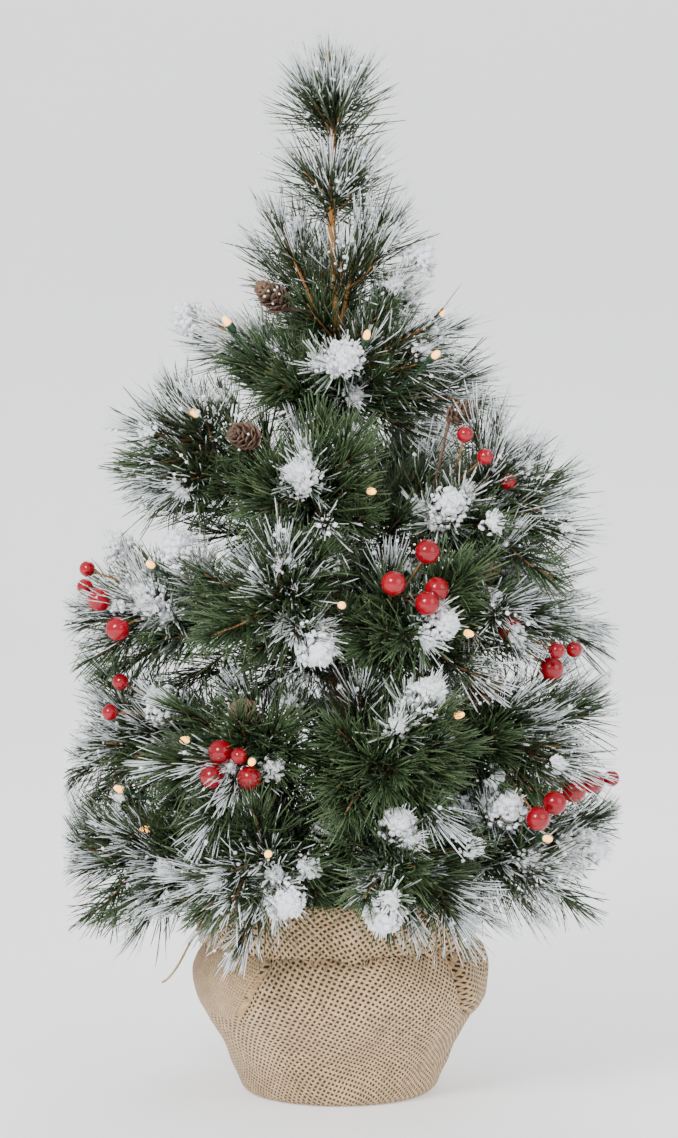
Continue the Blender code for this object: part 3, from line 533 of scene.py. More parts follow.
def clothMaterial(name, pitch, dark, light, gap, cover):
    # plain weave that follows the cloth's own map in metres: slubby threads, and holes between them painted
    # dark as shade from inside the sack
    mat, tree, shader = startMaterial(name, 0.95, Sheen_Weight=0.12, Sheen_Roughness=0.6)
    place = step(tree, "ShaderNodeUVMap", uv_map="weaveMap").outputs[0]
    moved = place
    for grain, detail, reach in ((9.0, 1.5, 0.034), (160.0, 2.0, 0.0011)):  # threads that wander and shiver
        drift = noiseNode(tree, grain, detail, 0.5, place).outputs[1]
        drift = vectorMaths(tree, "SUBTRACT", {0: drift, 1: (0.5, 0.5, 0.5)})
        drift = vectorMaths(tree, "SCALE", {0: drift, 3: reach})
        moved = vectorMaths(tree, "ADD", {0: moved, 1: drift})
    parts = step(tree, "ShaderNodeSeparateXYZ", {0: vectorMaths(tree, "SCALE", {0: moved, 3: 1.0 / pitch})})
    x, y = parts.outputs[0], parts.outputs[1]

    def ridge(value, width):  # 1 on a thread's crown, 0 in the gap beside it
        off = maths(tree, "ABSOLUTE", minus(tree, maths(tree, "FRACT", value), 0.5))
        return mapped(tree, off, width, 0.08, how="SMOOTHSTEP")

    def slub(value, other, shift):  # each thread's own tone and thickness
        row = maths(tree, "FLOOR", value)
        spot = step(tree, "ShaderNodeCombineXYZ", {0: row, 1: times(tree, other, 0.22), 2: shift}).outputs[0]
        return noiseNode(tree, 1.0, 2.0, 0.6, spot).outputs[0]

    warpTone, weftTone = slub(x, y, 3.0), slub(y, x, 11.0)
    warp = ridge(x, plus(tree, cover, times(tree, warpTone, 0.20)))
    weft = ridge(y, plus(tree, cover, times(tree, weftTone, 0.20)))
    swap = maths(tree, "PINGPONG", plus(tree, maths(tree, "FLOOR", x), maths(tree, "FLOOR", y)), 1.0)
    overWarp = times(tree, warp, plus(tree, 0.45, times(tree, swap, 0.55)))
    overWeft = times(tree, weft, minus(tree, 1.0, times(tree, swap, 0.55)))
    height = maths(tree, "MAXIMUM", overWarp, overWeft)
    onWarp = maths(tree, "GREATER_THAN", overWarp, overWeft)
    tone = step(tree, "ShaderNodeMix", {0: onWarp, 2: weftTone, 3: warpTone}).outputs[0]
    fuzz = noiseNode(tree, 1700.0, 3.0, 0.7)
    tone = plus(tree, times(tree, tone, 0.75), times(tree, fuzz.outputs[0], 0.35))
    broad = noiseNode(tree, 30.0, 2.0)
    tone = plus(tree, tone, times(tree, minus(tree, broad.outputs[0], 0.5), 0.3))
    yarn = ramp(tree, tone, [(0.30, dark), (0.72, light)])
    # the gap colour is painted shade, seen in the holes and where the threads fall away at their edges
    solid = mapped(tree, height, 0.05, 0.40, how="SMOOTHSTEP")
    tree.links.new(mixColour(tree, solid, gap, yarn), shader.inputs["Base Color"])
    bumpFrom(tree, shader, plus(tree, height, times(tree, fuzz.outputs[0], 0.25)), 0.0008, 0.9)
    return mat


# the fourth colour of each weave is painted shade in its holes, lighter for the double layer, where cloth
# lies beneath
burlapMat = clothMaterial("burlapWeave", 0.0030, (0.28, 0.155, 0.062), (0.74, 0.52, 0.28),
                          (0.030, 0.017, 0.008), 0.235)
denseMat = clothMaterial("burlapDouble", 0.0017, (0.28, 0.155, 0.062), (0.66, 0.46, 0.25),
                         (0.15, 0.09, 0.04), 0.34)
juteMat = mottled("juteYarn", (0.27, 0.165, 0.075), (0.66, 0.48, 0.27), 0.95, 1300.0, 0.0005,
                  Sheen_Weight=0.15)
berryMat = mottled("berrySkin", (0.17, 0.0005, 0.004), (0.36, 0.001, 0.012), 0.16, 160.0, 0.00006,
                   Specular_IOR_Level=0.35, Coat_Weight=0.25, Coat_Roughness=0.05)
coneMat = mottled("coneScale", (0.040, 0.020, 0.012), (0.27, 0.165, 0.105), 0.8, 420.0, 0.0006)
wireMat = mottled("leadSkin", (0.006, 0.022, 0.010), (0.018, 0.055, 0.024), 0.45, 700.0, 0.00008)
plasticMat = mottled("mouldedCase", (0.010, 0.040, 0.018), (0.018, 0.065, 0.030), 0.42, 1500.0, 0.00006)
cementMat = mottled("castCement", (0.24, 0.235, 0.22), (0.52, 0.51, 0.47), 0.92, 240.0, 0.0008)
waddingMat = mottled("wadding", (0.52, 0.48, 0.40), (0.86, 0.83, 0.76), 0.95, 500.0, 0.0010,
                     Sheen_Weight=0.2)
metalMat = mottled("plateStrip", (0.50, 0.49, 0.45), (0.78, 0.76, 0.71), 0.32, 600.0, 0.00004, Metallic=1.0)
cellMat = mottled("cellJacket", (0.03, 0.03, 0.035), (0.12, 0.12, 0.13), 0.30, 300.0, 0.00003, Metallic=0.6)
knobMat = mottled("knobPlastic", (0.012, 0.012, 0.013), (0.035, 0.035, 0.038), 0.4, 1500.0, 0.00006)


def glowMaterial():
    mat, tree, shader = startMaterial("warmLens", 0.15, Emission_Strength=3.5)
    shader.inputs["Base Color"].default_value = (0.9, 0.55, 0.2, 1)
    core = noiseNode(tree, 500.0, 1.0)
    warm = ramp(tree, core.outputs[0], [(0.3, (1.0, 0.36, 0.04)), (0.7, (1.0, 0.52, 0.12))])
    tree.links.new(warm, shader.inputs["Emission Color"])
    return mat


glowMat = glowMaterial()
holderMat = mottled("lampHolder", (0.008, 0.030, 0.014), (0.020, 0.060, 0.030), 0.4, 900.0, 0.00006)
print("stage: materials ready")


# the tree's plan, in the frame's own metres and degrees

bigBerry = 0.0066
smallBerry = 0.0045
# Each branch: tier, azimuth, tip of its main stem, then its side tips: kind, where it leaves the stem,
# azimuth from the branch's own, reach and height of its end.
branches = {
    "a1": ("a", 196, ("pine", 1, 0, 0.146, 0.131), [
        ("pine", 0.45, -16, 0.146, 0.152), ("pine", 0.35, 18, 0.122, 0.116),
        ("tinsel", 0.30, 8, 0.100, 0.150)]),
    "a2": ("a", 243, ("pine", 1, 0, 0.126, 0.138), [
        ("flock", 0.45, 14, 0.120, 0.122), ("pine", 0.35, -17, 0.122, 0.118),
        ("tinsel", 0.30, -7, 0.096, 0.154)]),
    "a3": ("a", 290, ("tinsel", 1, 0, 0.118, 0.140), [
        ("flock", 0.50, -9, 0.121, 0.114), ("pine", 0.35, 18, 0.128, 0.113),
        ("flock", 0.30, -3, 0.108, 0.163)]),
    "a4": ("a", 343, ("flock", 1, 3, 0.143, 0.139), [
        ("pine", 0.40, -15, 0.128, 0.120), ("pine", 0.45, 16, 0.142, 0.152),
        ("flock", 0.30, -21, 0.115, 0.168)]),
    "a5": ("a", 48, ("pine", 1, 0, 0.136, 0.132), [
        ("flock", 0.40, -19, 0.132, 0.148), ("pine", 0.40, 17, 0.130, 0.120),
        ("tinsel", 0.30, -6, 0.100, 0.156)]),
    "a6": ("a", 122, ("pine", 1, 0, 0.138, 0.130), [
        ("pine", 0.35, 28, 0.138, 0.140), ("flock", 0.40, -18, 0.128, 0.124),
        ("tinsel", 0.30, 8, 0.100, 0.158)]),
    "b1": ("b", 176, ("pine", 1, 0, 0.144, 0.188), [
        ("pine", 0.40, -17, 0.132, 0.206), ("pine", 0.45, 14, 0.126, 0.214),
        ("flock", 0.35, 31, 0.108, 0.222),
        ("pine", 0.25, -36, 0.134, 0.186)]),
    "b2": ("b", 232, ("pine", 1, 0, 0.118, 0.192), [
        ("tinsel", 0.40, 21, 0.108, 0.212), ("tinsel", 0.35, -16, 0.114, 0.190)]),
    "b3": ("b", 286, ("tinsel", 1, 0, 0.114, 0.190), [
        ("flock", 0.45, 9, 0.113, 0.232), ("tinsel", 0.40, 20, 0.112, 0.202),
        ("tinsel", 0.35, -17, 0.110, 0.182)]),
    "b4": ("b", 334, ("pine", 1, 0, 0.134, 0.198), [
        ("pine", 0.45, 17, 0.136, 0.224), ("tinsel", 0.35, -15, 0.112, 0.206)]),
    "b5": ("b", 72, ("pine", 1, 0, 0.128, 0.190), [
        ("pine", 0.35, -27, 0.132, 0.206), ("tinsel", 0.40, 18, 0.120, 0.186),
        ("flock", 0.30, 35, 0.126, 0.212),
        ("pine", 0.20, -46, 0.136, 0.190)]),
    "c1": ("c", 190, ("pine", 1, 0, 0.140, 0.270), [
        ("flock", 0.45, -9, 0.122, 0.302), ("flock", 0.40, 13, 0.116, 0.278),
        ("pine", 0.35, -27, 0.130, 0.262),
        ("flock", 0.25, 30, 0.112, 0.308)]),
    "c2": ("c", 248, ("pine", 1, 0, 0.108, 0.288), [
        ("flock", 0.40, 16, 0.113, 0.254), ("tinsel", 0.35, -15, 0.108, 0.262),
        ("tinsel", 0.45, 9, 0.096, 0.306)]),
    "c3": ("c", 300, ("flock", 1, 0, 0.110, 0.268), [
        ("tinsel", 0.35, -17, 0.106, 0.262), ("tinsel", 0.40, 14, 0.108, 0.298)]),
    "c4": ("c", 346, ("flock", 1, 0, 0.112, 0.288), [
        ("pine", 0.45, 9, 0.140, 0.258), ("pine", 0.35, -27, 0.124, 0.272),
        ("pine", 0.30, 29, 0.130, 0.274)]),
    "c5": ("c", 98, ("pine", 1, 0, 0.126, 0.266), [
        ("pine", 0.30, -34, 0.126, 0.262), ("tinsel", 0.45, -12, 0.102, 0.288),
        ("flock", 0.40, 19, 0.120, 0.290),
        ("pine", 0.30, 42, 0.126, 0.258)]),
    "d1": ("d", 200, ("pine", 1, 0, 0.104, 0.376), [
        ("pine", 0.45, 9, 0.114, 0.340), ("pine", 0.35, -28, 0.106, 0.362),
        ("tinsel", 0.30, 28, 0.086, 0.344)]),
    "d2": ("d", 258, ("flock", 1, -2, 0.088, 0.346), [
        ("tinsel", 0.35, -20, 0.088, 0.340), ("tinsel", 0.40, 19, 0.086, 0.358)]),
    "d3": ("d", 325, ("pine", 1, 10, 0.122, 0.326), [
        ("flock", 0.40, 23, 0.108, 0.357), ("flock", 0.35, -17, 0.096, 0.330),
        ("pine", 0.45, 3, 0.100, 0.368)]),
    "d4": ("d", 62, ("pine", 1, 0, 0.106, 0.352), [
        ("pine", 0.30, -34, 0.110, 0.340), ("flock", 0.40, 24, 0.102, 0.360),
        ("pine", 0.25, 58, 0.106, 0.344)]),
}

# The leader's own tips: kind, height where each leaves, azimuth, reach and height of its end
leaderTips = [
    ("flock", 0.368, 188, 0.084, 0.430), ("tinsel", 0.364, 214, 0.066, 0.404),
    ("pine", 0.372, 155, 0.074, 0.410),
    ("flock", 0.374, 273, 0.062, 0.408), ("tinsel", 0.366, 240, 0.060, 0.392),
    ("pine", 0.378, 318, 0.066, 0.424),
    ("flock", 0.386, 338, 0.048, 0.462), ("pine", 0.364, 346, 0.078, 0.382),
    ("pine", 0.374, 72, 0.072, 0.418),
    ("pine", 0.368, 36, 0.072, 0.400), ("flock", 0.372, 112, 0.070, 0.424),
    ("pine", 0.400, 205, 0.038, 0.482),
    ("pine", 0.420, 300, 0.024, 0.476), ("pine", 0.410, 100, 0.036, 0.470),
]
# The leader's lean: x, and share of the height above the pole
leaderLean = [(0.0, 0.0), (-0.001, 0.30), (-0.004, 0.52), (-0.003, 0.72), (-0.006, 0.86), (-0.006, 1.0)]

# Branch, share of its stem, then azimuth, reach, height of the middle, and tilt
cones = {
    "cone_1": ("leader", 0.34, 222, 0.048, 0.440, 30), "cone_2": ("d1", 0.44, 236, 0.090, 0.366, 8),
    "cone_3": ("b4", 0.40, 318, 0.104, 0.231, 25), "cone_4": ("b2", 0.42, 239, 0.096, 0.219, 20),
    "cone_5": ("c4", 0.40, 327, 0.090, 0.290, 20), "cone_6": ("d3", 0.40, 322, 0.084, 0.378, 25),
}

# Branch, share of its stem, then azimuth, reach, height and radius of each berry
sprigs = {
    "berries_1": ("c1", 0.46, [
        (186, 0.139, 0.291, smallBerry), (190, 0.141, 0.282, smallBerry), (197, 0.136, 0.276, bigBerry),
        (203, 0.130, 0.261, bigBerry)]),
    "berries_2": ("b1", 0.40, [(198, 0.125, 0.231, smallBerry), (199.5, 0.132, 0.215, smallBerry)]),
    "berries_3": ("b2", 0.46, [
        (238, 0.118, 0.200, bigBerry), (244.5, 0.122, 0.199, smallBerry), (236, 0.120, 0.187, bigBerry),
        (246, 0.116, 0.187, bigBerry)]),
    "berries_4": ("c3", 0.46, [
        (294.5, 0.112, 0.306, bigBerry), (284.5, 0.114, 0.290, bigBerry), (298, 0.110, 0.286, bigBerry),
        (294, 0.114, 0.279, bigBerry)]),
    "berries_5": ("c4", 0.46, [
        (327, 0.110, 0.262, bigBerry), (329, 0.136, 0.251, smallBerry), (333.5, 0.128, 0.240, bigBerry),
        (338, 0.137, 0.250, smallBerry)]),
    "berries_6": ("b4", 0.46, [
        (320, 0.138, 0.163, bigBerry), (326, 0.139, 0.170, bigBerry), (333, 0.142, 0.175, bigBerry),
        (340, 0.146, 0.178, bigBerry), (346, 0.153, 0.178, smallBerry)]),
    "berries_7": ("d3", 0.44, [
        (316, 0.108, 0.355, smallBerry), (310, 0.104, 0.367, smallBerry), (327, 0.108, 0.341, smallBerry)]),
}

# Branch, how far the wire follows it, then azimuth, reach and height of each lamp
lightRuns = {
    "lights_1": ("a1", 0.48, [(199.5, 0.110, 0.150), (192, 0.121, 0.170)]),
    "lights_2": ("a2", 0.48, [(253, 0.126, 0.149)]),
    "lights_3": ("a4", 0.48, [(330, 0.128, 0.149)]),
    "lights_4": ("b2", 0.48, [(248.5, 0.124, 0.197), (224, 0.112, 0.204)]),
    "lights_5": ("b3", 0.48, [(305, 0.108, 0.218)]),
    "lights_6": ("c1", 0.48, [(212, 0.118, 0.296)]),
    "lights_7": ("c3", 0.48, [(308.5, 0.108, 0.262), (271, 0.106, 0.278)]),
    "lights_8": ("d1", 0.46, [(219, 0.098, 0.377)]),
    "lights_9": ("d2", 0.46, [(281, 0.084, 0.337)]),
    "lights_10": ("c5", 0.48, [(92, 0.124, 0.281), (108, 0.112, 0.274)]),
}
leadLamps = [(205, 0.066, 0.425), (284, 0.060, 0.418), (308, 0.082, 0.408), (10, 0.056, 0.430)]
tierHeight = {"a": 0.124, "b": 0.180, "c": 0.236, "d": 0.292}
hingeReach = 0.008  # from the pole's middle to each hinge
stemLift = 0.010  # how far a stem arches


def stemPoint(name, share):  # a point on a branch's main stem, or on the leader
    if name == "leader":
        low, high = next(pair for pair in zip(leaderLean, leaderLean[1:]) if share <= pair[1][1])
        t = (share - low[1]) / (high[1] - low[1])
        x = low[0] + (high[0] - low[0]) * t
        return Vector((x, 0, poleTop + share * (treeTop - poleTop)))
    tier, azimuth, (_, _, turn, reach, height), _ = branches[name]
    start = polar(azimuth, hingeReach, tierHeight[tier])
    end = polar(azimuth + turn, reach, height)
    return bow(start, start.lerp(end, 0.5) + Vector((0, 0, stemLift)), end, share)


def bodyOf(name):
    return "base" if name == "leader" else "branch_" + name


def put(piece, body, slot, *nodes):  # rides on its body, stands for its nodes
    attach(piece, body)
    if nodes:
        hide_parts(*nodes)
    return piece


def give(ob, *materials):
    ob.data.materials.clear()
    for mat in materials:
        ob.data.materials.append(mat)
    return ob


# stems and foliage

foliage = {
    "pine": {"spacing": 0.0017, "perRing": 4, "length": 0.034, "spread": 0.28, "low": 0.95, "high": 0.20,
             "chance": 0.28, "halfWidth": 0.0120, "halfThick": 0.0080, "curl": 0.12},
    "tuft": {"spacing": 0.0016, "perRing": 4, "length": 0.038, "spread": 0.18, "low": 1.05, "high": 0.25,
             "chance": 0.22, "halfWidth": 0.0115, "halfThick": 0.0075, "curl": 0.12},
    "tinsel": {"spacing": 0.0013, "perRing": 5, "length": 0.026, "spread": 0.28, "low": 1.10, "high": 0.30,
               "chance": 0.28, "halfWidth": 0.0210, "halfThick": 0.0060, "curl": 0.12},
    "inner": {"spacing": 0.0019, "perRing": 5, "length": 0.027, "spread": 0.30, "low": 1.10, "high": 0.35,
              "chance": 0.35, "halfWidth": 0.0190, "halfThick": 0.0060, "curl": 0.14},
    "flock": {"spacing": 0.0014, "perRing": 5, "length": 0.021, "spread": 0.28, "low": 1.10, "high": 0.25,
              "chance": 0.30, "halfWidth": 0.0260, "halfThick": 0.0130, "curl": 0.10},
}
needleShapes = {}
for kind, v in foliage.items():
    needleShapes[kind] = bladeShape(kind + "Shape", v["halfWidth"], v["halfThick"], v["curl"])
smallLump = lumpShape("snowGrain", 0)
roundLump = lumpShape("snowLump", 1)
growNeedles = needleTree()
growSnow = snowTree()
needleMats = {"pine": pineMat, "tuft": pineMat, "tinsel": tinselMat, "inner": tinselMat, "flock": flockMat}

twigs = {  # short twigs that fork off the tips and fill them out
    "pine": {"count": 4, "reach": 0.042, "turn": 0.85}, "tinsel": {"count": 5, "reach": 0.030, "turn": 0.95},
    "flock": {"count": 3, "reach": 0.024, "turn": 0.85},
}
# Green twigs close to the pole
filler = {"count": 14, "low": 0.10, "high": 0.78, "reach": 0.050, "turn": 1.10}
# Twigs round the leader: kind, root as a share of its length, how many, reach, and lean
leaderTwigs = [
    ("tuft", 0.76, 7, 0.024, 0.60), ("tuft", 0.60, 6, 0.022, 0.85), ("flock", 0.62, 3, 0.012, 1.0),
    ("flock", 0.84, 3, 0.012, 0.7), ("inner", 0.30, 6, 0.040, 1.0), ("inner", 0.14, 8, 0.050, 1.2),
]
crust = {"lumps": 110, "wide": 0.0118, "small": 0.0007, "big": 0.0032}


def curveOf(start, bend, end, low, high, count):
    return [bow(start, bend, end, low + (high - low) * k / (count - 1)) for k in range(count)]


def overCuff(spot):  # leaves room above the sack's cuff for the lowest branches to dip
    out = math.hypot(spot.x, spot.y)
    if out < 0.094:
        spot.z = max(spot.z, 0.118 + 0.15 * out)
    return spot


def forks(points, kind):  # a few twigs that leave a tip to either side and swing back towards its end
    v = twigs[kind]
    out = []
    last = len(points) - 1
    for k in range(v["count"]):
        share = (k + chance.uniform(0.1, 0.8)) / v["count"] * 0.75
        spot = share * last
        low = points[int(spot)]
        start = low.lerp(points[min(int(spot) + 1, last)], spot - int(spot))
        along = (points[-1] - points[0]).normalized()
        side = sideOf(along, chance.uniform(0, math.tau))
        side.z *= 0.7
        heading = (along * math.cos(v["turn"]) + side * math.sin(v["turn"])).normalized()
        reach = v["reach"] * chance.uniform(0.6, 1.0) * (1 - 0.35 * share)
        bend = start + heading * reach * 0.6
        end = bend + (heading * 0.4 + along * 0.6).normalized() * reach * 0.5
        out.append(curveOf(start, overCuff(bend), overCuff(end), 0, 1, 6))
    return out


def tipsOf(name):  # every foliage tip of a branch or of the leader, as (kind, its stem's points)
    out = []
    if name == "leader":
        for kind, leave, azimuth, reach, height in leaderTips:
            start = Vector((0, 0, leave))
            end = polar(azimuth, reach, height)
            bend = start + polar(azimuth, 0.4, 1).normalized() * (end - start).length * 0.4
            out.append((kind, curveOf(start, bend, end, 0, 1, 12)))
        return out
    _, azimuth, (kind, *_), sideTips = branches[name]
    out.append((kind, [stemPoint(name, 0.42 + 0.58 * k / 11) for k in range(12)]))
    for kind, leave, turn, reach, height in sideTips:
        start = stemPoint(name, leave)
        heading = stemPoint(name, leave + 0.1) - start
        end = polar(azimuth + turn, reach, height)
        bend = start + heading.normalized() * (end - start).length * 0.4
        out.append((kind, curveOf(start, bend, end, 0, 1, 12)))
    return out


def share(points, low, high):  # the stretch of a path between two shares of its points
    last = len(points) - 1
    return points[round(low * last):round(high * last) + 1]


def fillers(name):  # twigs that leave the main stem near the pole, up, down and to both sides
    out = []
    for k in range(filler["count"]):
        at = filler["low"] + (filler["high"] - filler["low"]) * (k + chance.random()) / filler["count"]
        start = stemPoint(name, at)
        along = (stemPoint(name, at + 0.08) - start).normalized()
        side = sideOf(along, math.radians(137.5 * k) + chance.uniform(-0.4, 0.4))
        heading = (along * math.cos(filler["turn"]) + side * math.sin(filler["turn"])).normalized()
        reach = filler["reach"] * chance.uniform(0.7, 1.0)
        bend = start + heading * reach * 0.6
        end = bend + (heading * 0.5 + along * 0.5).normalized() * reach * 0.5
        out.append(curveOf(start, overCuff(bend), overCuff(end), 0, 1, 7))
    return out


def facesOf(ob):
    return [tuple(p.vertices) for p in ob.data.polygons]


def crustOn(points, size=1.0):  # matted flock over a tip's end: lumps that run into each other
    end, along = points[-1], (points[-1] - points[-4]).normalized()
    out = []
    for k in range(round(crust["lumps"] * size * size)):
        side = sideOf(along, chance.uniform(0, math.tau))
        away = chance.random() ** 0.85
        spot = end + side * crust["wide"] * size * away
        spot += along * size * (0.0040 - 0.011 * away * away + chance.uniform(-0.003, 0.003))
        lump = crust["big"] + (crust["small"] - crust["big"]) * away * chance.uniform(0.7, 1.0)
        turn = Matrix.Rotation(chance.uniform(0, math.tau), 3, side)
        shift = Vector((k * 1.7, 5.3, 2.1))  # no two lumps alike
        verts = [spot + turn @ v.co * lump * (0.95 + 0.75 * noise(v.co * 1.9 + shift))
                 for v in roundLump.data.vertices]
        out.append((verts, facesOf(roundLump)))
    return out


def makeFoliage(name, seed):
    body = bodyOf(name)
    chains = {"pine": [], "tuft": [], "tinsel": [], "inner": [], "flock": []}
    wires, matted = [], []
    for kind, points in tipsOf(name):
        wires.append((points, 0.0012))
        chains[kind].append(share(points, 0.30, 1.0))
        if kind == "flock":
            matted += crustOn(points)
        for k, fork in enumerate(forks(share(points, 0.30, 1.0), kind)):
            wires.append((fork, 0.0007))
            chains[kind].append(share(fork, 0.15, 1.0))
            if kind == "flock" or kind == "pine" and k == 2:
                matted += crustOn(fork, 0.55)
    if name != "leader":
        for k, fork in enumerate(fillers(name)):
            wires.append((fork, 0.0008))
            chains["pine" if k % 4 == 3 else "inner"].append(share(fork, 0.15, 1.0))
            if k % 5 == 4:
                matted += crustOn(fork, 0.65)
    if name == "leader":
        top = [stemPoint("leader", 0.67 + 0.21 * k / 9) for k in range(10)]
        middle = [stemPoint("leader", 0.53 + 0.12 * k / 5) for k in range(6)]
        chains["tuft"] += [top, middle]
        for kind, root, count, reach, lean in leaderTwigs:
            for k in range(count):
                start = stemPoint("leader", root - 0.02 * (k % 3))
                out = polar(360 * (k + chance.random() * 0.6) / count, math.sin(lean), math.cos(lean))
                end = start + out * reach
                fork = curveOf(start, start.lerp(end, 0.5) + Vector((0, 0, -0.002)), end, 0, 1, 6)
                wires.append((fork, 0.0007))
                chains[kind].append(fork)
    for order, (kind, paths) in enumerate(chains.items()):
        if not paths:
            continue
        verts, edges = [], []
        for path in paths:
            edges += [(len(verts) + k, len(verts) + k + 1) for k in range(len(path) - 1)]
            verts += [tuple(p) for p in path]
        mesh = bpy.data.meshes.new("paths")
        mesh.from_pydata(verts, edges, [])
        lines = bpy.data.objects.new("paths", mesh)
        scene.collection.objects.link(lines)
        v = foliage[kind]
        needles = grown(lines, growNeedles, {
            "Spacing": v["spacing"], "Per Ring": v["perRing"], "Length": v["length"], "Spread": v["spread"],
            "Splay Low": v["low"], "Splay High": v["high"], "Splay Chance": v["chance"], "Curl Turn": 0.8,
            "Seed": seed * 10 + order, "Needle": needleShapes[kind], "Material": needleMats[kind]},
            f"needles_{kind}_{name}")
        bpy.data.objects.remove(lines)
        snowOn(needles, kind, name, seed)
        layOut(needles)
        put(needles, body, "foliage")
    if matted:
        crusts = joined(f"crust_{name}", matted)
        holdMesh(crusts.data)
        put(give(crusts, snowMat), body, "foliage")
    stems = [loft(points, [radius * (1 - 0.35 * k / (len(points) - 1)) for k in range(len(points))], 6)
             for points, radius in wires]
    return stems


snow = {
    "pine": {"density": 12000.0, "size": 0.0010, "pastStem": 0.50, "pastNeedle": 0.40},
    "tuft": {"density": 14000.0, "size": 0.0010, "pastStem": 0.30, "pastNeedle": 0.35},
    "flock": {"density": 16000.0, "size": 0.0011, "pastStem": 0.45, "pastNeedle": 0.20},
}


def snowOn(needles, kind, name, seed):
    if kind not in snow:
        return
    v = snow[kind]
    grains = grown(needles, growSnow, {
        "Density": v["density"], "Size": v["size"], "Size Spread": 0.55, "Past Stem": v["pastStem"],
        "Past Needle": v["pastNeedle"], "Seed": seed, "Lump": smallLump, "Material": snowMat},
        f"snow_{kind}_{name}")
    layOut(grains)
    put(grains, bodyOf(name), "foliage")


def makeBranch(name, seed):
    stems = makeFoliage(name, seed)
    azimuth = branches[name][1]
    main = [stemPoint(name, k / 15) for k in range(10)]
    stems.append(loft(main, [0.0015] * 10, 8, twist=140, lobes=0.16))
    hinge = polar(azimuth, hingeReach, tierHeight[branches[name][0]])
    across = polar(azimuth + 90, 1, 0)
    stems.append(loft([hinge - across * 0.0019, hinge + across * 0.0019], [0.0018, 0.0018], 12))
    wire = joined(f"stems_{name}", stems)
    holdMesh(wire.data)
    put(give(wire, twigMat), bodyOf(name), "foliage", "branch_" + name)


for index, name in enumerate(branches):
    makeBranch(name, index + 1)
leaderStems = makeFoliage("leader", 40)
wanders = [stemPoint("leader", -0.05 + 0.97 * k / 60) for k in range(61)]
thick = [0.0024 - 0.0008 * k / 60 + 0.00035 * noise(Vector((k * 0.7, 0, 0))) for k in range(61)]
leaderStems.append(loft(wanders, thick, 12, twist=60, lobes=0.14))
leaderWire = joined("stem_leader", leaderStems)
put(give(leaderWire, leaderMat), "base", "foliage", "leader")
print("stage: foliage grown")


# cones

cone = {"radius": 0.0120, "length": 0.0280, "scales": 64, "turn": 137.5, "stalk": 0.0009}
coneScales = {"cone_6": 0.82}  # a smaller cone, which clears the leader when its branch is raised


def stalkFoot(name, at, goal, stemRadius):
    spot = stemPoint(name, at)
    along = (stemPoint(name, at + 0.05) - spot).normalized()
    side = (goal - spot) - along * (goal - spot).dot(along)
    return spot + side.normalized() * (stemRadius + cone["stalk"] + 0.0005)


def coneScale(width, length, thick):
    # one woody scale: a thick spoon with a blunt lip, x across, y out, z up
    verts, rows = [], 4
    for row in range(rows + 1):
        t = row / rows
        half = width * (0.45 + 0.75 * math.sin(t * 2.0)) * (1 if row < rows else 0.72)
        lift = length * (0.10 * t + 0.34 * t * t)
        deep = thick * (0.6 + 0.9 * t)
        for x in (-1, -0.35, 0.35, 1):
            crown = lift - abs(x) * thick * 0.5 + deep * (1 - abs(x) * 0.6)
            verts.append(Vector((x * half, length * t, crown)))
        for x in (1, 0.35, -0.35, -1):
            verts.append(Vector((x * half, length * t, lift - abs(x) * thick * 0.5 - deep * 0.4)))
    faces = []
    for row in range(rows):
        for k in range(8):
            j = (k + 1) % 8
            faces.append((row * 8 + k, (row + 1) * 8 + k, (row + 1) * 8 + j, row * 8 + j))
    faces.append(tuple(range(8)))
    faces.append(tuple(range(rows * 8, rows * 8 + 8))[::-1])
    return verts, faces


def makeCone(name):
    branch, at, azimuth, reach, height, tilt = cones[name]
    scale = coneScales.get(name, 1.0)
    wide, tall = cone["radius"] * scale, cone["length"] * scale
    middle = polar(azimuth, reach, height)
    lean = math.radians(tilt)
    axis = polar(azimuth, math.cos(lean), math.sin(lean)).normalized()
    turnTo = axis.to_track_quat("Z", "Y").to_matrix()
    parts = []
    for k in range(cone["scales"]):
        t = (k + 0.5) / cone["scales"]  # 0 at the stalk, 1 at the nose
        belly = math.sin(math.pi * min(1.0, 0.14 + 0.86 * t)) ** 0.7
        reachOut = wide * (0.30 + 0.62 * belly) * chance.uniform(0.94, 1.05)
        size = scale * (0.55 + 0.45 * belly)
        verts, faces = coneScale(0.0022 * size, reachOut * 0.86, 0.00042)
        opening = math.radians(8 + 62 * t ** 1.3 + chance.uniform(-5, 5))
        place = (Matrix.Rotation(math.radians(cone["turn"] * k), 3, "Z") @ Matrix.Rotation(opening, 3, "X"))
        lifted = Vector((0, 0, tall * (-0.42 + 0.76 * t)))
        parts.append(([middle + turnTo @ (place @ v + lifted) for v in verts], faces))
    core = [middle + axis * tall * s for s in (-0.44, -0.2, 0.1, 0.34)]
    parts.append(loft(core, [0.0022, 0.0034, 0.0030, 0.0012], 10))
    foot = stalkFoot(branch, at, middle, 0.0024 if branch == "leader" else 0.0015)
    heel = middle - axis * tall * 0.42
    parts.append(loft([foot, foot.lerp(heel, 0.5), heel], [cone["stalk"]] * 3, 8))
    body = joined(name + "_scales", parts)
    put(give(body, coneMat), bodyOf(branch), "cone", name)
    dust = polar(azimuth, 1, 0)
    flakes = []
    for k in range(26):  # snow dabbed on the lips of the scales
        side = sideOf(axis, chance.uniform(0, math.tau))
        spot = middle + side * wide * chance.uniform(0.78, 0.95) + axis * tall * chance.uniform(-0.3, 0.42)
        if (spot - middle).normalized().dot(dust) + (spot.z - middle.z) / wide < 0.1:
            continue
        flakes.append(spot)
    if flakes:
        grain = [v.co for v in smallLump.data.vertices]
        parts = [([spot + corner * chance.uniform(0.0005, 0.0010) for corner in grain], facesOf(smallLump))
                 for spot in flakes]
        put(give(joined(name + "_snow", parts), snowMat), bodyOf(branch), "foliage")


for name in cones:
    makeCone(name)


# berries

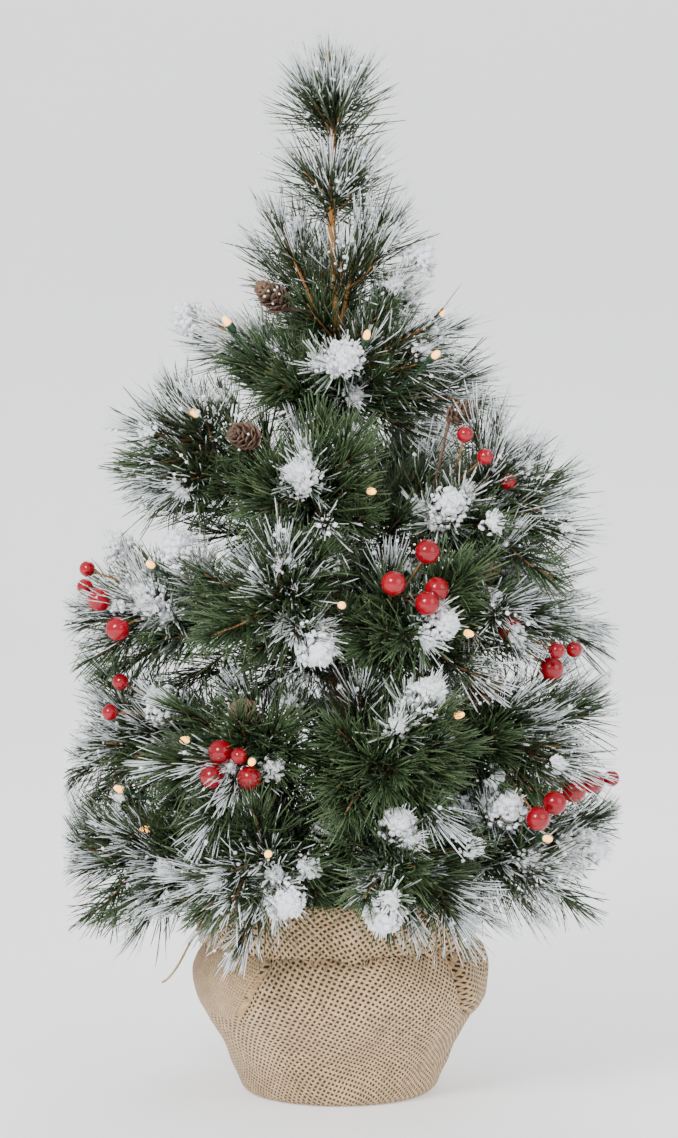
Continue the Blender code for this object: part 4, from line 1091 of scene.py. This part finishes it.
def ballMesh(centre, radius, down, across=14, rings=9):
    # a berry with a dimple where its wire comes in, down is the direction of the wire
    turnTo = (-down).to_track_quat("Z", "Y").to_matrix()
    verts = []
    for i in range(1, rings):
        a = math.pi * i / rings
        flat = 1 - 0.10 * max(0.0, math.cos(a)) ** 6
        for k in range(across):
            t = math.tau * k / across
            wobble = 1 + 0.025 * noise(Vector((math.cos(t), math.sin(t), a)) * 2 + centre * 300)
            corner = Vector((math.sin(a) * math.cos(t), math.sin(a) * math.sin(t), math.cos(a) * flat))
            verts.append(corner * radius * wobble)
    top, bottom = len(verts), len(verts) + 1
    verts += [Vector((0, 0, radius * 0.86)), Vector((0, 0, -radius))]
    faces = []
    for i in range(rings - 2):
        for k in range(across):
            j = (k + 1) % across
            faces.append((i * across + k, (i + 1) * across + k, (i + 1) * across + j, i * across + j))
    for k in range(across):
        j = (k + 1) % across
        faces.append((top, k, j))
        faces.append((bottom, (rings - 2) * across + j, (rings - 2) * across + k))
    return [centre + turnTo @ v for v in verts], faces


def makeSprig(name):
    branch, at, berries = sprigs[name]
    spots = [polar(*berry[:3]) for berry in berries]
    middle = sum(spots, Vector()) / len(spots)
    foot = stalkFoot(branch, at, middle, 0.0015)
    fork = foot.lerp(middle, 0.35) + Vector((0, 0, 0.009))
    skins, wires = [], [loft([foot, foot.lerp(fork, 0.5), fork], [0.0009] * 3, 8)]
    for spot, (_, _, _, radius) in zip(spots, berries):
        towards = (fork - spot).normalized()
        skins.append(ballMesh(spot, radius, -towards))
        path = [fork, fork.lerp(spot, 0.5), spot + towards * radius * 0.8]
        wires.append(loft(path, [0.0007, 0.0006, 0.0006], 6))
        cup = spot + towards * radius * 0.84
        rim = [cup, cup + towards * 0.0006, cup + towards * 0.0020]
        wires.append(loft(rim, [0.0013, 0.0015, 0.0007], 8))
    put(give(joined(name + "_skins", skins), berryMat), bodyOf(branch), "berry", name)
    put(give(joined(name + "_wires", wires), twigMat), bodyOf(branch), "foliage")


for name in sprigs:
    makeSprig(name)
print("stage: cones and berries made")


# lights: a twisted pair that follows each branch, and a lamp at each end

lampSize = {"radius": 0.0024, "length": 0.0110, "arch": 0.007, "wire": 0.0008, "offset": 0.0042}
leadRoute = {"azimuth": 18, "bend": 0.0174, "ringZ": 0.3535, "ringR": 0.0090, "radius": 0.0011}
caseLow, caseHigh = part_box("battery_case")


def smoothed(points, times=2):  # rounds a path's corners and keeps its ends
    for _ in range(times):
        cut = [points[0]]
        for a, b in zip(points, points[1:]):
            cut += [a.lerp(b, 0.25), a.lerp(b, 0.75)]
        points = cut + [points[-1]]
    return points


def evenly(points, gap):  # the same path with a point about every gap
    out = [points[0]]
    for a, b in zip(points, points[1:]):
        steps = max(1, round((b - a).length / gap))
        out += [a.lerp(b, k / steps) for k in range(1, steps + 1)]
    return out


def twisted(points, radius):
    path = evenly(smoothed(points), 0.0012)
    return loft(path, [radius] * len(path), 8, twist=160, lobes=0.22)


def lampParts(start, middle):
    heading = (middle - start).normalized()
    r, long = lampSize["radius"], lampSize["length"]

    def spots(shares):
        return [middle + heading * long * s for s in shares]

    holder = loft(spots((-0.5, -0.44, -0.36, -0.10, -0.06, 0.0, 0.02)),
                  [0.0009, r * 0.8, r * 0.95, r, r * 1.05, r * 1.05, r * 0.9], 14)
    lens = loft(spots((0.0, 0.08, 0.22, 0.36, 0.46, 0.5)),
        [r * 0.72, r * 0.80, r * 0.80, r * 0.70, r * 0.42, r * 0.12], 14)
    return holder, lens, middle - heading * long * 0.5


def makeRun(name):
    branch, at, lamps = lightRuns[name]
    up = Vector((0, 0, lampSize["offset"]))
    route = [stemPoint(branch, 0.16 + (at - 0.16) * k / 4) + up for k in range(5)]
    wires, holders, lenses = [], [], []
    for index, place in enumerate(lamps):
        start = route[-1] if index == 0 else route[2 - (index - 1)]
        arch = start.lerp(polar(*place), 0.35) + Vector((0, 0, lampSize["arch"]))
        holder, lens, heel = lampParts(arch, polar(*place))
        wires.append(twisted([*(route if index == 0 else [start]), arch, heel], lampSize["wire"]))
        holders.append(holder)
        lenses.append(lens)
    body = bodyOf(branch)
    put(give(joined(name + "_wires", wires), wireMat), body, "wire", name)
    put(give(joined(name + "_holders", holders), holderMat), body, "wire")
    put(give(joined(name + "_lenses", lenses), glowMat), body, "wire")
    below = polar(leadRoute["azimuth"], 0.0125, route[0].z - 0.012)
    turnIn = polar(branches[branch][1], 0.0118, route[0].z - 0.002)
    crossing = give(joined(name + "_lead", [twisted([below, turnIn, route[0]], 0.0007)]), wireMat)
    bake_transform(crossing, "base", body, start=tuple(polar(branches[branch][1], 0.010, route[0].z)),
             end=tuple(route[0]))


for name in lightRuns:
    makeRun(name)


def makeLead():
    side = 0.0105 + leadRoute["radius"] + 0.0008
    corner = Vector((caseHigh[0] - 0.008, caseLow[1] + 0.005, caseHigh[2] + 0.0003 + leadRoute["radius"]))
    foot = caseHigh[2] + leadRoute["bend"]
    up = [polar(leadRoute["azimuth"], side, foot + (poleTop - 0.005 - foot) * k / 3) for k in range(4)]
    climb = Vector((up[0].x + 0.006, up[0].y + 0.008, foot - 0.5 * leadRoute["bend"]))
    last = leadLamps[0][0] - 360
    first = leadRoute["azimuth"]
    ring = [polar(first + (last - first) * k / 7, leadRoute["ringR"], leadRoute["ringZ"]) for k in range(8)]
    wires, holders, lenses = [], [], []
    for index, place in enumerate(leadLamps):
        middle = polar(*place)
        if index == 0:
            holder, lens, heel = lampParts(ring[-1], middle)
            path = [corner, corner + Vector((0, -0.008, 0.0006)), climb, *up, *ring, heel]
            wires.append(twisted(path, leadRoute["radius"]))
        else:
            nearest = min(ring, key=lambda spot: (spot - middle).length)
            arch = nearest.lerp(middle, 0.35) + Vector((0, 0, lampSize["arch"]))
            holder, lens, heel = lampParts(arch, middle)
            wires.append(twisted([nearest, arch, heel], lampSize["wire"]))
        holders.append(holder)
        lenses.append(lens)
    put(give(joined("lead_wires", wires), wireMat), "base", "wire", "light_lead")
    put(give(joined("lead_holders", holders), holderMat), "base", "wire")
    put(give(joined("lead_lenses", lenses), glowMat), "base", "wire")


makeLead()
print("stage: lights strung")


# the burlap sack, its cuff and its tie

sack = {
    "around": 400, "up": 84, "wall": 0.0009, "pleats": 19, "pleatDepth": 0.0030, "bulge": 0.0022,
    "weaveTurn": 0.52,  # the cloth was wrapped off square
}
sackSide = [(0.0, 0.0500), (0.0025, 0.0540), (0.011, 0.0578), (0.025, 0.0634), (0.034, 0.0690),
            (0.042, 0.0742), (0.051, 0.0790), (0.060, 0.0806), (0.069, 0.0800), (0.078, 0.0765),
            (0.086, 0.0708), (0.092, 0.0655), (0.0985, 0.0660)]


def sideRadius(z):  # smooth through the side's points
    heights = [p[0] for p in sackSide]
    last = len(heights) - 2
    i = max(0, next((k for k in range(last + 1) if z <= heights[k + 1]), last))
    before = sackSide[max(i - 1, 0)]
    low, high, after = sackSide[i], sackSide[i + 1], sackSide[min(i + 2, len(sackSide) - 1)]
    wide = high[0] - low[0]
    t = min(1.0, max(0.0, (z - low[0]) / wide))
    m0 = (high[1] - before[1]) / max(1e-6, high[0] - before[0]) * wide
    m1 = (after[1] - low[1]) / max(1e-6, after[0] - low[0]) * wide
    return ((2 * t ** 3 - 3 * t * t + 1) * low[1] + (t ** 3 - 2 * t * t + t) * m0
            + (-2 * t ** 3 + 3 * t * t) * high[1] + (t ** 3 - t * t) * m1)


def pleat(turn, depth, count, seed):  # irregular gathers round the neck
    warped = turn + 0.16 * math.sin(2 * turn + seed)
    warped = warped + 0.10 * math.sin(5 * turn + 2 * seed)
    warped = warped + 0.05 * math.sin(9 * turn + seed)
    wave = math.sin(count * warped)
    return depth * (wave * abs(wave) ** 0.3) * (0.65 + 0.35 * math.sin(3 * turn + 1.7 * seed))


def flapStep(turn, z):
    # the cloth's free edge laps over at the left front: its edge runs down and outwards from the neck
    x = math.cos(turn) * sideRadius(z)
    front = math.sin(turn) < 0
    edge = -0.036 - (0.090 - z) * 0.46 - 0.0015 * noise(Vector((z * 120, 3.1, 0)))
    inside = 1 - rise(-0.0012, 0.0012, x - edge)
    if not front or z < 0.042:
        return 0.0, 0.0
    fade = rise(0.042, 0.056, z)
    return inside * fade, fade * math.exp(-((x - edge - 0.0016) / 0.0016) ** 2)


def sackPoint(turn, z):
    radius = sideRadius(z)
    gather = rise(0.058, 0.094, z)
    radius += pleat(turn, sack["pleatDepth"], sack["pleats"], 0.7) * gather
    soft = Vector((math.cos(turn) * 2.2, math.sin(turn) * 2.2, z * 34))
    radius += sack["bulge"] * noise(soft) * rise(0.0, 0.02, z) * (1 - 0.5 * gather)
    crumple = noise(Vector((math.cos(turn) * 7 + z * 40, math.sin(turn) * 7, z * 75)))
    radius += 0.0011 * crumple * rise(0.0, 0.012, z)
    lap, crease = flapStep(turn, z)
    radius += 0.0026 * lap * math.exp(-(max(0.0, -math.cos(turn) - 0.55) / 0.35) ** 2) - 0.0034 * crease
    fold = math.cos(turn) * sideRadius(z) - 0.0640 - 0.26 * (0.075 - z)  # the tuck at the right
    if math.sin(turn) < 0.3 and 0.042 < z < 0.086:
        fade = rise(0.042, 0.054, z) * (1 - rise(0.078, 0.086, z))
        radius += fade * (0.0024 * rise(-0.0006, 0.0030, fold) - 0.0050 * math.exp(-(fold / 0.0016) ** 2))
    return Vector((radius * math.cos(turn), radius * math.sin(turn), z))


def clothGrid(name, rows, columns, place, mapPlace, mat, wall):
    verts = [place(c / columns, r / (rows - 1)) for r in range(rows) for c in range(columns)]
    faces = []
    for r in range(rows - 1):
        for c in range(columns):
            d = (c + 1) % columns
            faces.append((r * columns + c, r * columns + d, (r + 1) * columns + d, (r + 1) * columns + c))
    ob = meshObject(name, verts, faces)
    layer = ob.data.uv_layers.new(name="weaveMap")
    flat = []
    for r in range(rows - 1):
        for c in range(columns):
            for cc, rr in ((c, r), (c + 1, r), (c + 1, r + 1), (c, r + 1)):
                flat += mapPlace(cc / columns, rr / (rows - 1))
    layer.data.foreach_set("uv", flat)
    give(ob, mat)
    thick = ob.modifiers.new("wall", "SOLIDIFY")
    thick.thickness = wall
    thick.offset = -1
    return ob


def settle(ob):  # applies what modifiers are left
    shown = ob.evaluated_get(bpy.context.evaluated_depsgraph_get())
    mesh = bpy.data.meshes.new_from_object(shown)
    ob.modifiers.clear()
    ob.data = mesh
    mesh.name = ob.name
    return ob


neckZ = sackSide[-1][0]
floorRows = 14  # rows of the sack's own bottom, from the middle out


def sackPlace(across, up):
    turn = math.tau * across
    row = up * (sack["up"] - 1)
    if row < floorRows:
        shareOut = (row + 0.05) / floorRows
        return Vector((0.050 * shareOut * math.cos(turn), 0.050 * shareOut * math.sin(turn), 0.0))
    return sackPoint(turn, neckZ * (row - floorRows) / (sack["up"] - 1 - floorRows))


def turnedMap(u, v, turn):
    return (u * math.cos(turn) - v * math.sin(turn), u * math.sin(turn) + v * math.cos(turn))


def sackMap(across, up):
    row = up * (sack["up"] - 1)
    if row < floorRows:
        v = 0.050 * row / floorRows
    else:
        v = 0.050 + 0.118 * (row - floorRows) / (sack["up"] - 1 - floorRows)
    return turnedMap(across * math.tau * 0.080, v, sack["weaveTurn"])


burlap = clothGrid("sack_cloth", sack["up"], sack["around"], sackPlace, sackMap, burlapMat, sack["wall"])
burlap.data.materials.append(denseMat)
for face in burlap.data.polygons:  # two layers lie over each other left of the lap's edge
    middle = face.center
    around = math.atan2(middle.y, middle.x)
    if middle.z > 0.044 and flapStep(around, middle.z)[0] > 0.5:
        face.material_index = 1
burlap = settle(burlap)
put(burlap, "base", "burlap", "burlap_sack")

cuff = {"around": 420, "rows": 40, "waves": 15, "wall": 0.0008, "hem": 0.0845, "top": 0.1125}


def cuffPlace(across, up):
    turn = math.tau * across
    s = up
    ruffle = pleat(turn, 1.0, cuff["waves"], 2.3)
    lift = 0.0022 * noise(Vector((math.cos(turn) * 2.5, math.sin(turn) * 2.5, 4.0)))
    top = cuff["top"] + lift - 0.0030 * rise(0.3, 1.0, math.cos(turn))
    ragged = 0.0030 * noise(Vector((math.cos(turn) * 5, math.sin(turn) * 5, 9.0)))
    ragged = ragged + 0.0010 * noise(Vector((turn * 30, 2.0, 1.0)))
    neck = 0.0640
    if s < 0.42:  # up and outwards from the tie
        t = s / 0.42
        radius = neck + (0.0760 - neck) * t ** 1.2
        z = 0.0930 + (top - 0.0930) * t
        wave = 0.0016 + 0.0010 * t
    elif s < 0.58:  # rolls over
        t = (s - 0.42) / 0.16
        radius = 0.0760 + 0.0030 * math.sin(t * math.pi / 2)
        z = top + 0.0012 * math.sin(t * math.pi) - 0.0015 * t
        wave = 0.0026
    else:  # hangs down to its torn edge
        t = (s - 0.58) / 0.42
        radius = 0.0790 - 0.0050 * t
        z = top - 0.0015 - (top - 0.0015 - cuff["hem"] - ragged) * t
        wave = 0.0026 + 0.0006 * t
    radius += ruffle * wave + 0.0007 * noise(Vector((math.cos(turn) * 9, math.sin(turn) * 9, s * 6)))
    if s >= 0.58:
        radius = max(radius, sideRadius(min(z, neckZ)) + 0.0026 + 0.0008 * ruffle)
    return Vector((radius * math.cos(turn), radius * math.sin(turn), z))


def cuffMap(across, up):
    return turnedMap(across * math.tau * 0.080, 0.062 * up + 0.2, 0.62)


collar = settle(clothGrid("cuff_cloth", cuff["rows"], cuff["around"], cuffPlace, cuffMap, burlapMat,
    cuff["wall"]))
put(collar, "base", "burlap", "burlap_cuff")


def thread(points, radius, sides=5):
    return loft(points, [radius * (1 - 0.3 * k / len(points)) for k in range(len(points))], sides)


def frayedHem():  # threads that have come loose from the cuff's torn edge, and two long strays
    out = []
    for k in range(260):
        turn = math.tau * (k + chance.uniform(-0.6, 0.6)) / 260
        root = cuffPlace(turn / math.tau, 1.0)
        outward = Vector((math.cos(turn), math.sin(turn), 0))
        across = Vector((-math.sin(turn), math.cos(turn), 0))
        long = chance.uniform(0.0015, 0.0050) * (1.5 if chance.random() < 0.12 else 1)
        heading = Vector((0, 0, -1)) + across * chance.uniform(-0.8, 0.8)
        heading = (heading + outward * chance.uniform(0.0, 0.45)).normalized()
        root = root + Vector((0, 0, 0.0010))
        path = [root + heading * long * t + across * long * 0.18 * math.sin(3 * t + k)
                for t in (0, 0.25, 0.5, 0.75, 1.0)]
        out.append(thread(path, chance.uniform(0.00020, 0.00036)))
    stray = [(-0.0735, -0.022, 0.094), (-0.0800, -0.026, 0.0890), (-0.0835, -0.028, 0.0830),
             (-0.0865, -0.029, 0.0770), (-0.0900, -0.029, 0.0710), (-0.0945, -0.028, 0.0655),
             (-0.0975, -0.028, 0.0640)]
    path = evenly(smoothed([Vector(spot) for spot in stray]), 0.0012)
    out.append(loft(path, [0.00065] * len(path), 6, twist=220, lobes=0.2))
    for angle, low in ((318, 0.070), (262, 0.076), (120, 0.068), (36, 0.072)):
        top = cuffPlace(angle / 360, 0.98)
        end = sackPoint(math.radians(angle + 4), low) + polar(angle, 0.0012, 0)
        path = evenly(smoothed([top, top.lerp(end, 0.5) + polar(angle, 0.0018, 0), end]), 0.0012)
        out.append(loft(path, [0.00040] * len(path), 5, twist=220, lobes=0.2))
    return out


hem = joined("frayed_threads", frayedHem())
put(give(hem, juteMat), "base", "burlap")


def neckPath(turns, steps):
    out = []
    for k in range(steps * turns + 1):
        turn = math.tau * k / steps
        radius = 0.0668 + 0.5 * pleat(turn, 0.0020, sack["pleats"], 0.7)
        climb = 0.0905 + 0.0028 * k / (steps * turns)
        out.append(Vector((radius * math.cos(turn), radius * math.sin(turn), climb)))
    return out


ties = neckPath(2, 180)
cord = joined("neck_cord", [loft(ties, [0.0012] * len(ties), 8, twist=180, lobes=0.18)])
put(give(cord, juteMat), "base", "jute", "neck_tie")
print("stage: sack, cuff and tie made")


# wadding inside the sack

def plainCopy(nodeName, name):
    mesh = bpy.data.objects[nodeName].data.copy()
    bm = bmesh.new()
    bm.from_mesh(mesh)
    bmesh.ops.remove_doubles(bm, verts=bm.verts, dist=1e-6)
    bm.to_mesh(mesh)
    bm.free()
    ob = bpy.data.objects.new(name, mesh)
    scene.collection.objects.link(ob)
    return ob


wad = plainCopy("stuffing", "stuffing_wad")
block = wad.modifiers.new("even", "REMESH")
block.mode = "VOXEL"
block.voxel_size = 0.0028
settle(wad)
normals = [v.normal.copy() for v in wad.data.vertices]
for v, normal in zip(wad.data.vertices, normals):
    lump = noise(v.co * 90) * 0.5 + noise(v.co * 210) * 0.35 + 0.85
    v.co -= normal * 0.0013 * lump
wad.data.shade_smooth()
put(give(wad, waddingMat), "base", "stuffing", "stuffing")


# finishes of the pieces that the frame gives as they are

poleMat = stemMaterial("wrappedPole", (0.16, 0.07, 0.02), (0.42, 0.22, 0.08), (0.20, 0.24, 0.14))
nodeFinish = {
    "base_block": cementMat, "trunk_socket": plasticMat, "pole": poleMat, "battery_case": plasticMat,
    "battery_cover": plasticMat,
    **{f"battery_cell_{k}": cellMat for k in (1, 2, 3)},
    "contact_springs": metalMat, "contact_strip": metalMat, "switch_knob": knobMat,
}
for nodeName, finish in nodeFinish.items():
    node = bpy.data.objects[nodeName]
    if not node.material_slots:
        node.data.materials.append(finish)
    for slot in node.material_slots:
        slot.material = finish
for shape in (*needleShapes.values(), smallLump, roundLump):
    bpy.data.objects.remove(shape)
print("stage: finishes given")


# floor, light and camera

studio = {"distance": 2.05, "height": 0.43, "aimZ": 0.290, "viewTall": 0.6417}
floorMat = mottled("studioFloor", (0.90, 0.90, 0.905), (0.95, 0.95, 0.955), 0.7, 3.0, 0.0)
sweep = []
for k in range(25):  # a floor that curves up into a backdrop
    t = k / 24
    bent = (t - 0.9) * 10 * math.pi / 2
    curved = (1.85 + 1.2 * math.sin(bent), 1.2 - 1.2 * math.cos(bent))
    sweep.append((-4.0 + 6.5 * t, 0.0) if t < 0.9 else curved)
floorVerts = [Vector((x, y, z)) for y, z in sweep for x in (-5.0, 5.0)]
floorFaces = [(2 * k, 2 * k + 1, 2 * k + 3, 2 * k + 2) for k in range(len(sweep) - 1)]
ground = meshObject("studio_floor", [v + Vector((0, 0, -0.0004)) for v in floorVerts], floorFaces)
floorShader = next(node for node in floorMat.node_tree.nodes if node.type == "BSDF_PRINCIPLED")
floorShader.inputs["Emission Color"].default_value = (1.0, 1.0, 1.0, 1)
floorShader.inputs["Emission Strength"].default_value = 0.42
give(ground, floorMat)


def softLight(name, place, aim, size, power, colour=(1, 1, 1)):
    light = bpy.data.lights.new(name, "AREA")
    light.shape = "DISK"
    light.size = size
    light.energy = power
    light.color = colour
    ob = bpy.data.objects.new(name, light)
    ob.location = place
    ob.rotation_euler = (Vector(aim) - Vector(place)).to_track_quat("-Z", "Y").to_euler()
    scene.collection.objects.link(ob)


softLight("key", (-1.0, -1.8, 1.5), (0, 0, 0.3), 0.8, 62)
softLight("fill", (1.6, -1.3, 1.0), (0, 0, 0.3), 1.6, 16)
softLight("rear", (0.3, 1.5, 1.8), (0, 0, 0.3), 1.2, 24)
world = bpy.data.worlds.new("studio")
world.use_nodes = True
sky = world.node_tree.nodes["Background"]
sky.inputs[0].default_value = (0.96, 0.98, 1.0, 1)
sky.inputs[1].default_value = 1.0
scene.world = world

lens = bpy.data.cameras.new("camera")
lens.sensor_fit = "VERTICAL"
lens.sensor_height = 36
viewer = bpy.data.objects.new("camera", lens)
viewer.location = (0, -studio["distance"], studio["height"])
aim = Vector((0, 0, studio["aimZ"])) - viewer.location
viewer.rotation_euler = aim.to_track_quat("-Z", "Y").to_euler()
lens.lens = 36 * viewer.location.length / studio["viewTall"]
scene.collection.objects.link(viewer)
scene.camera = viewer
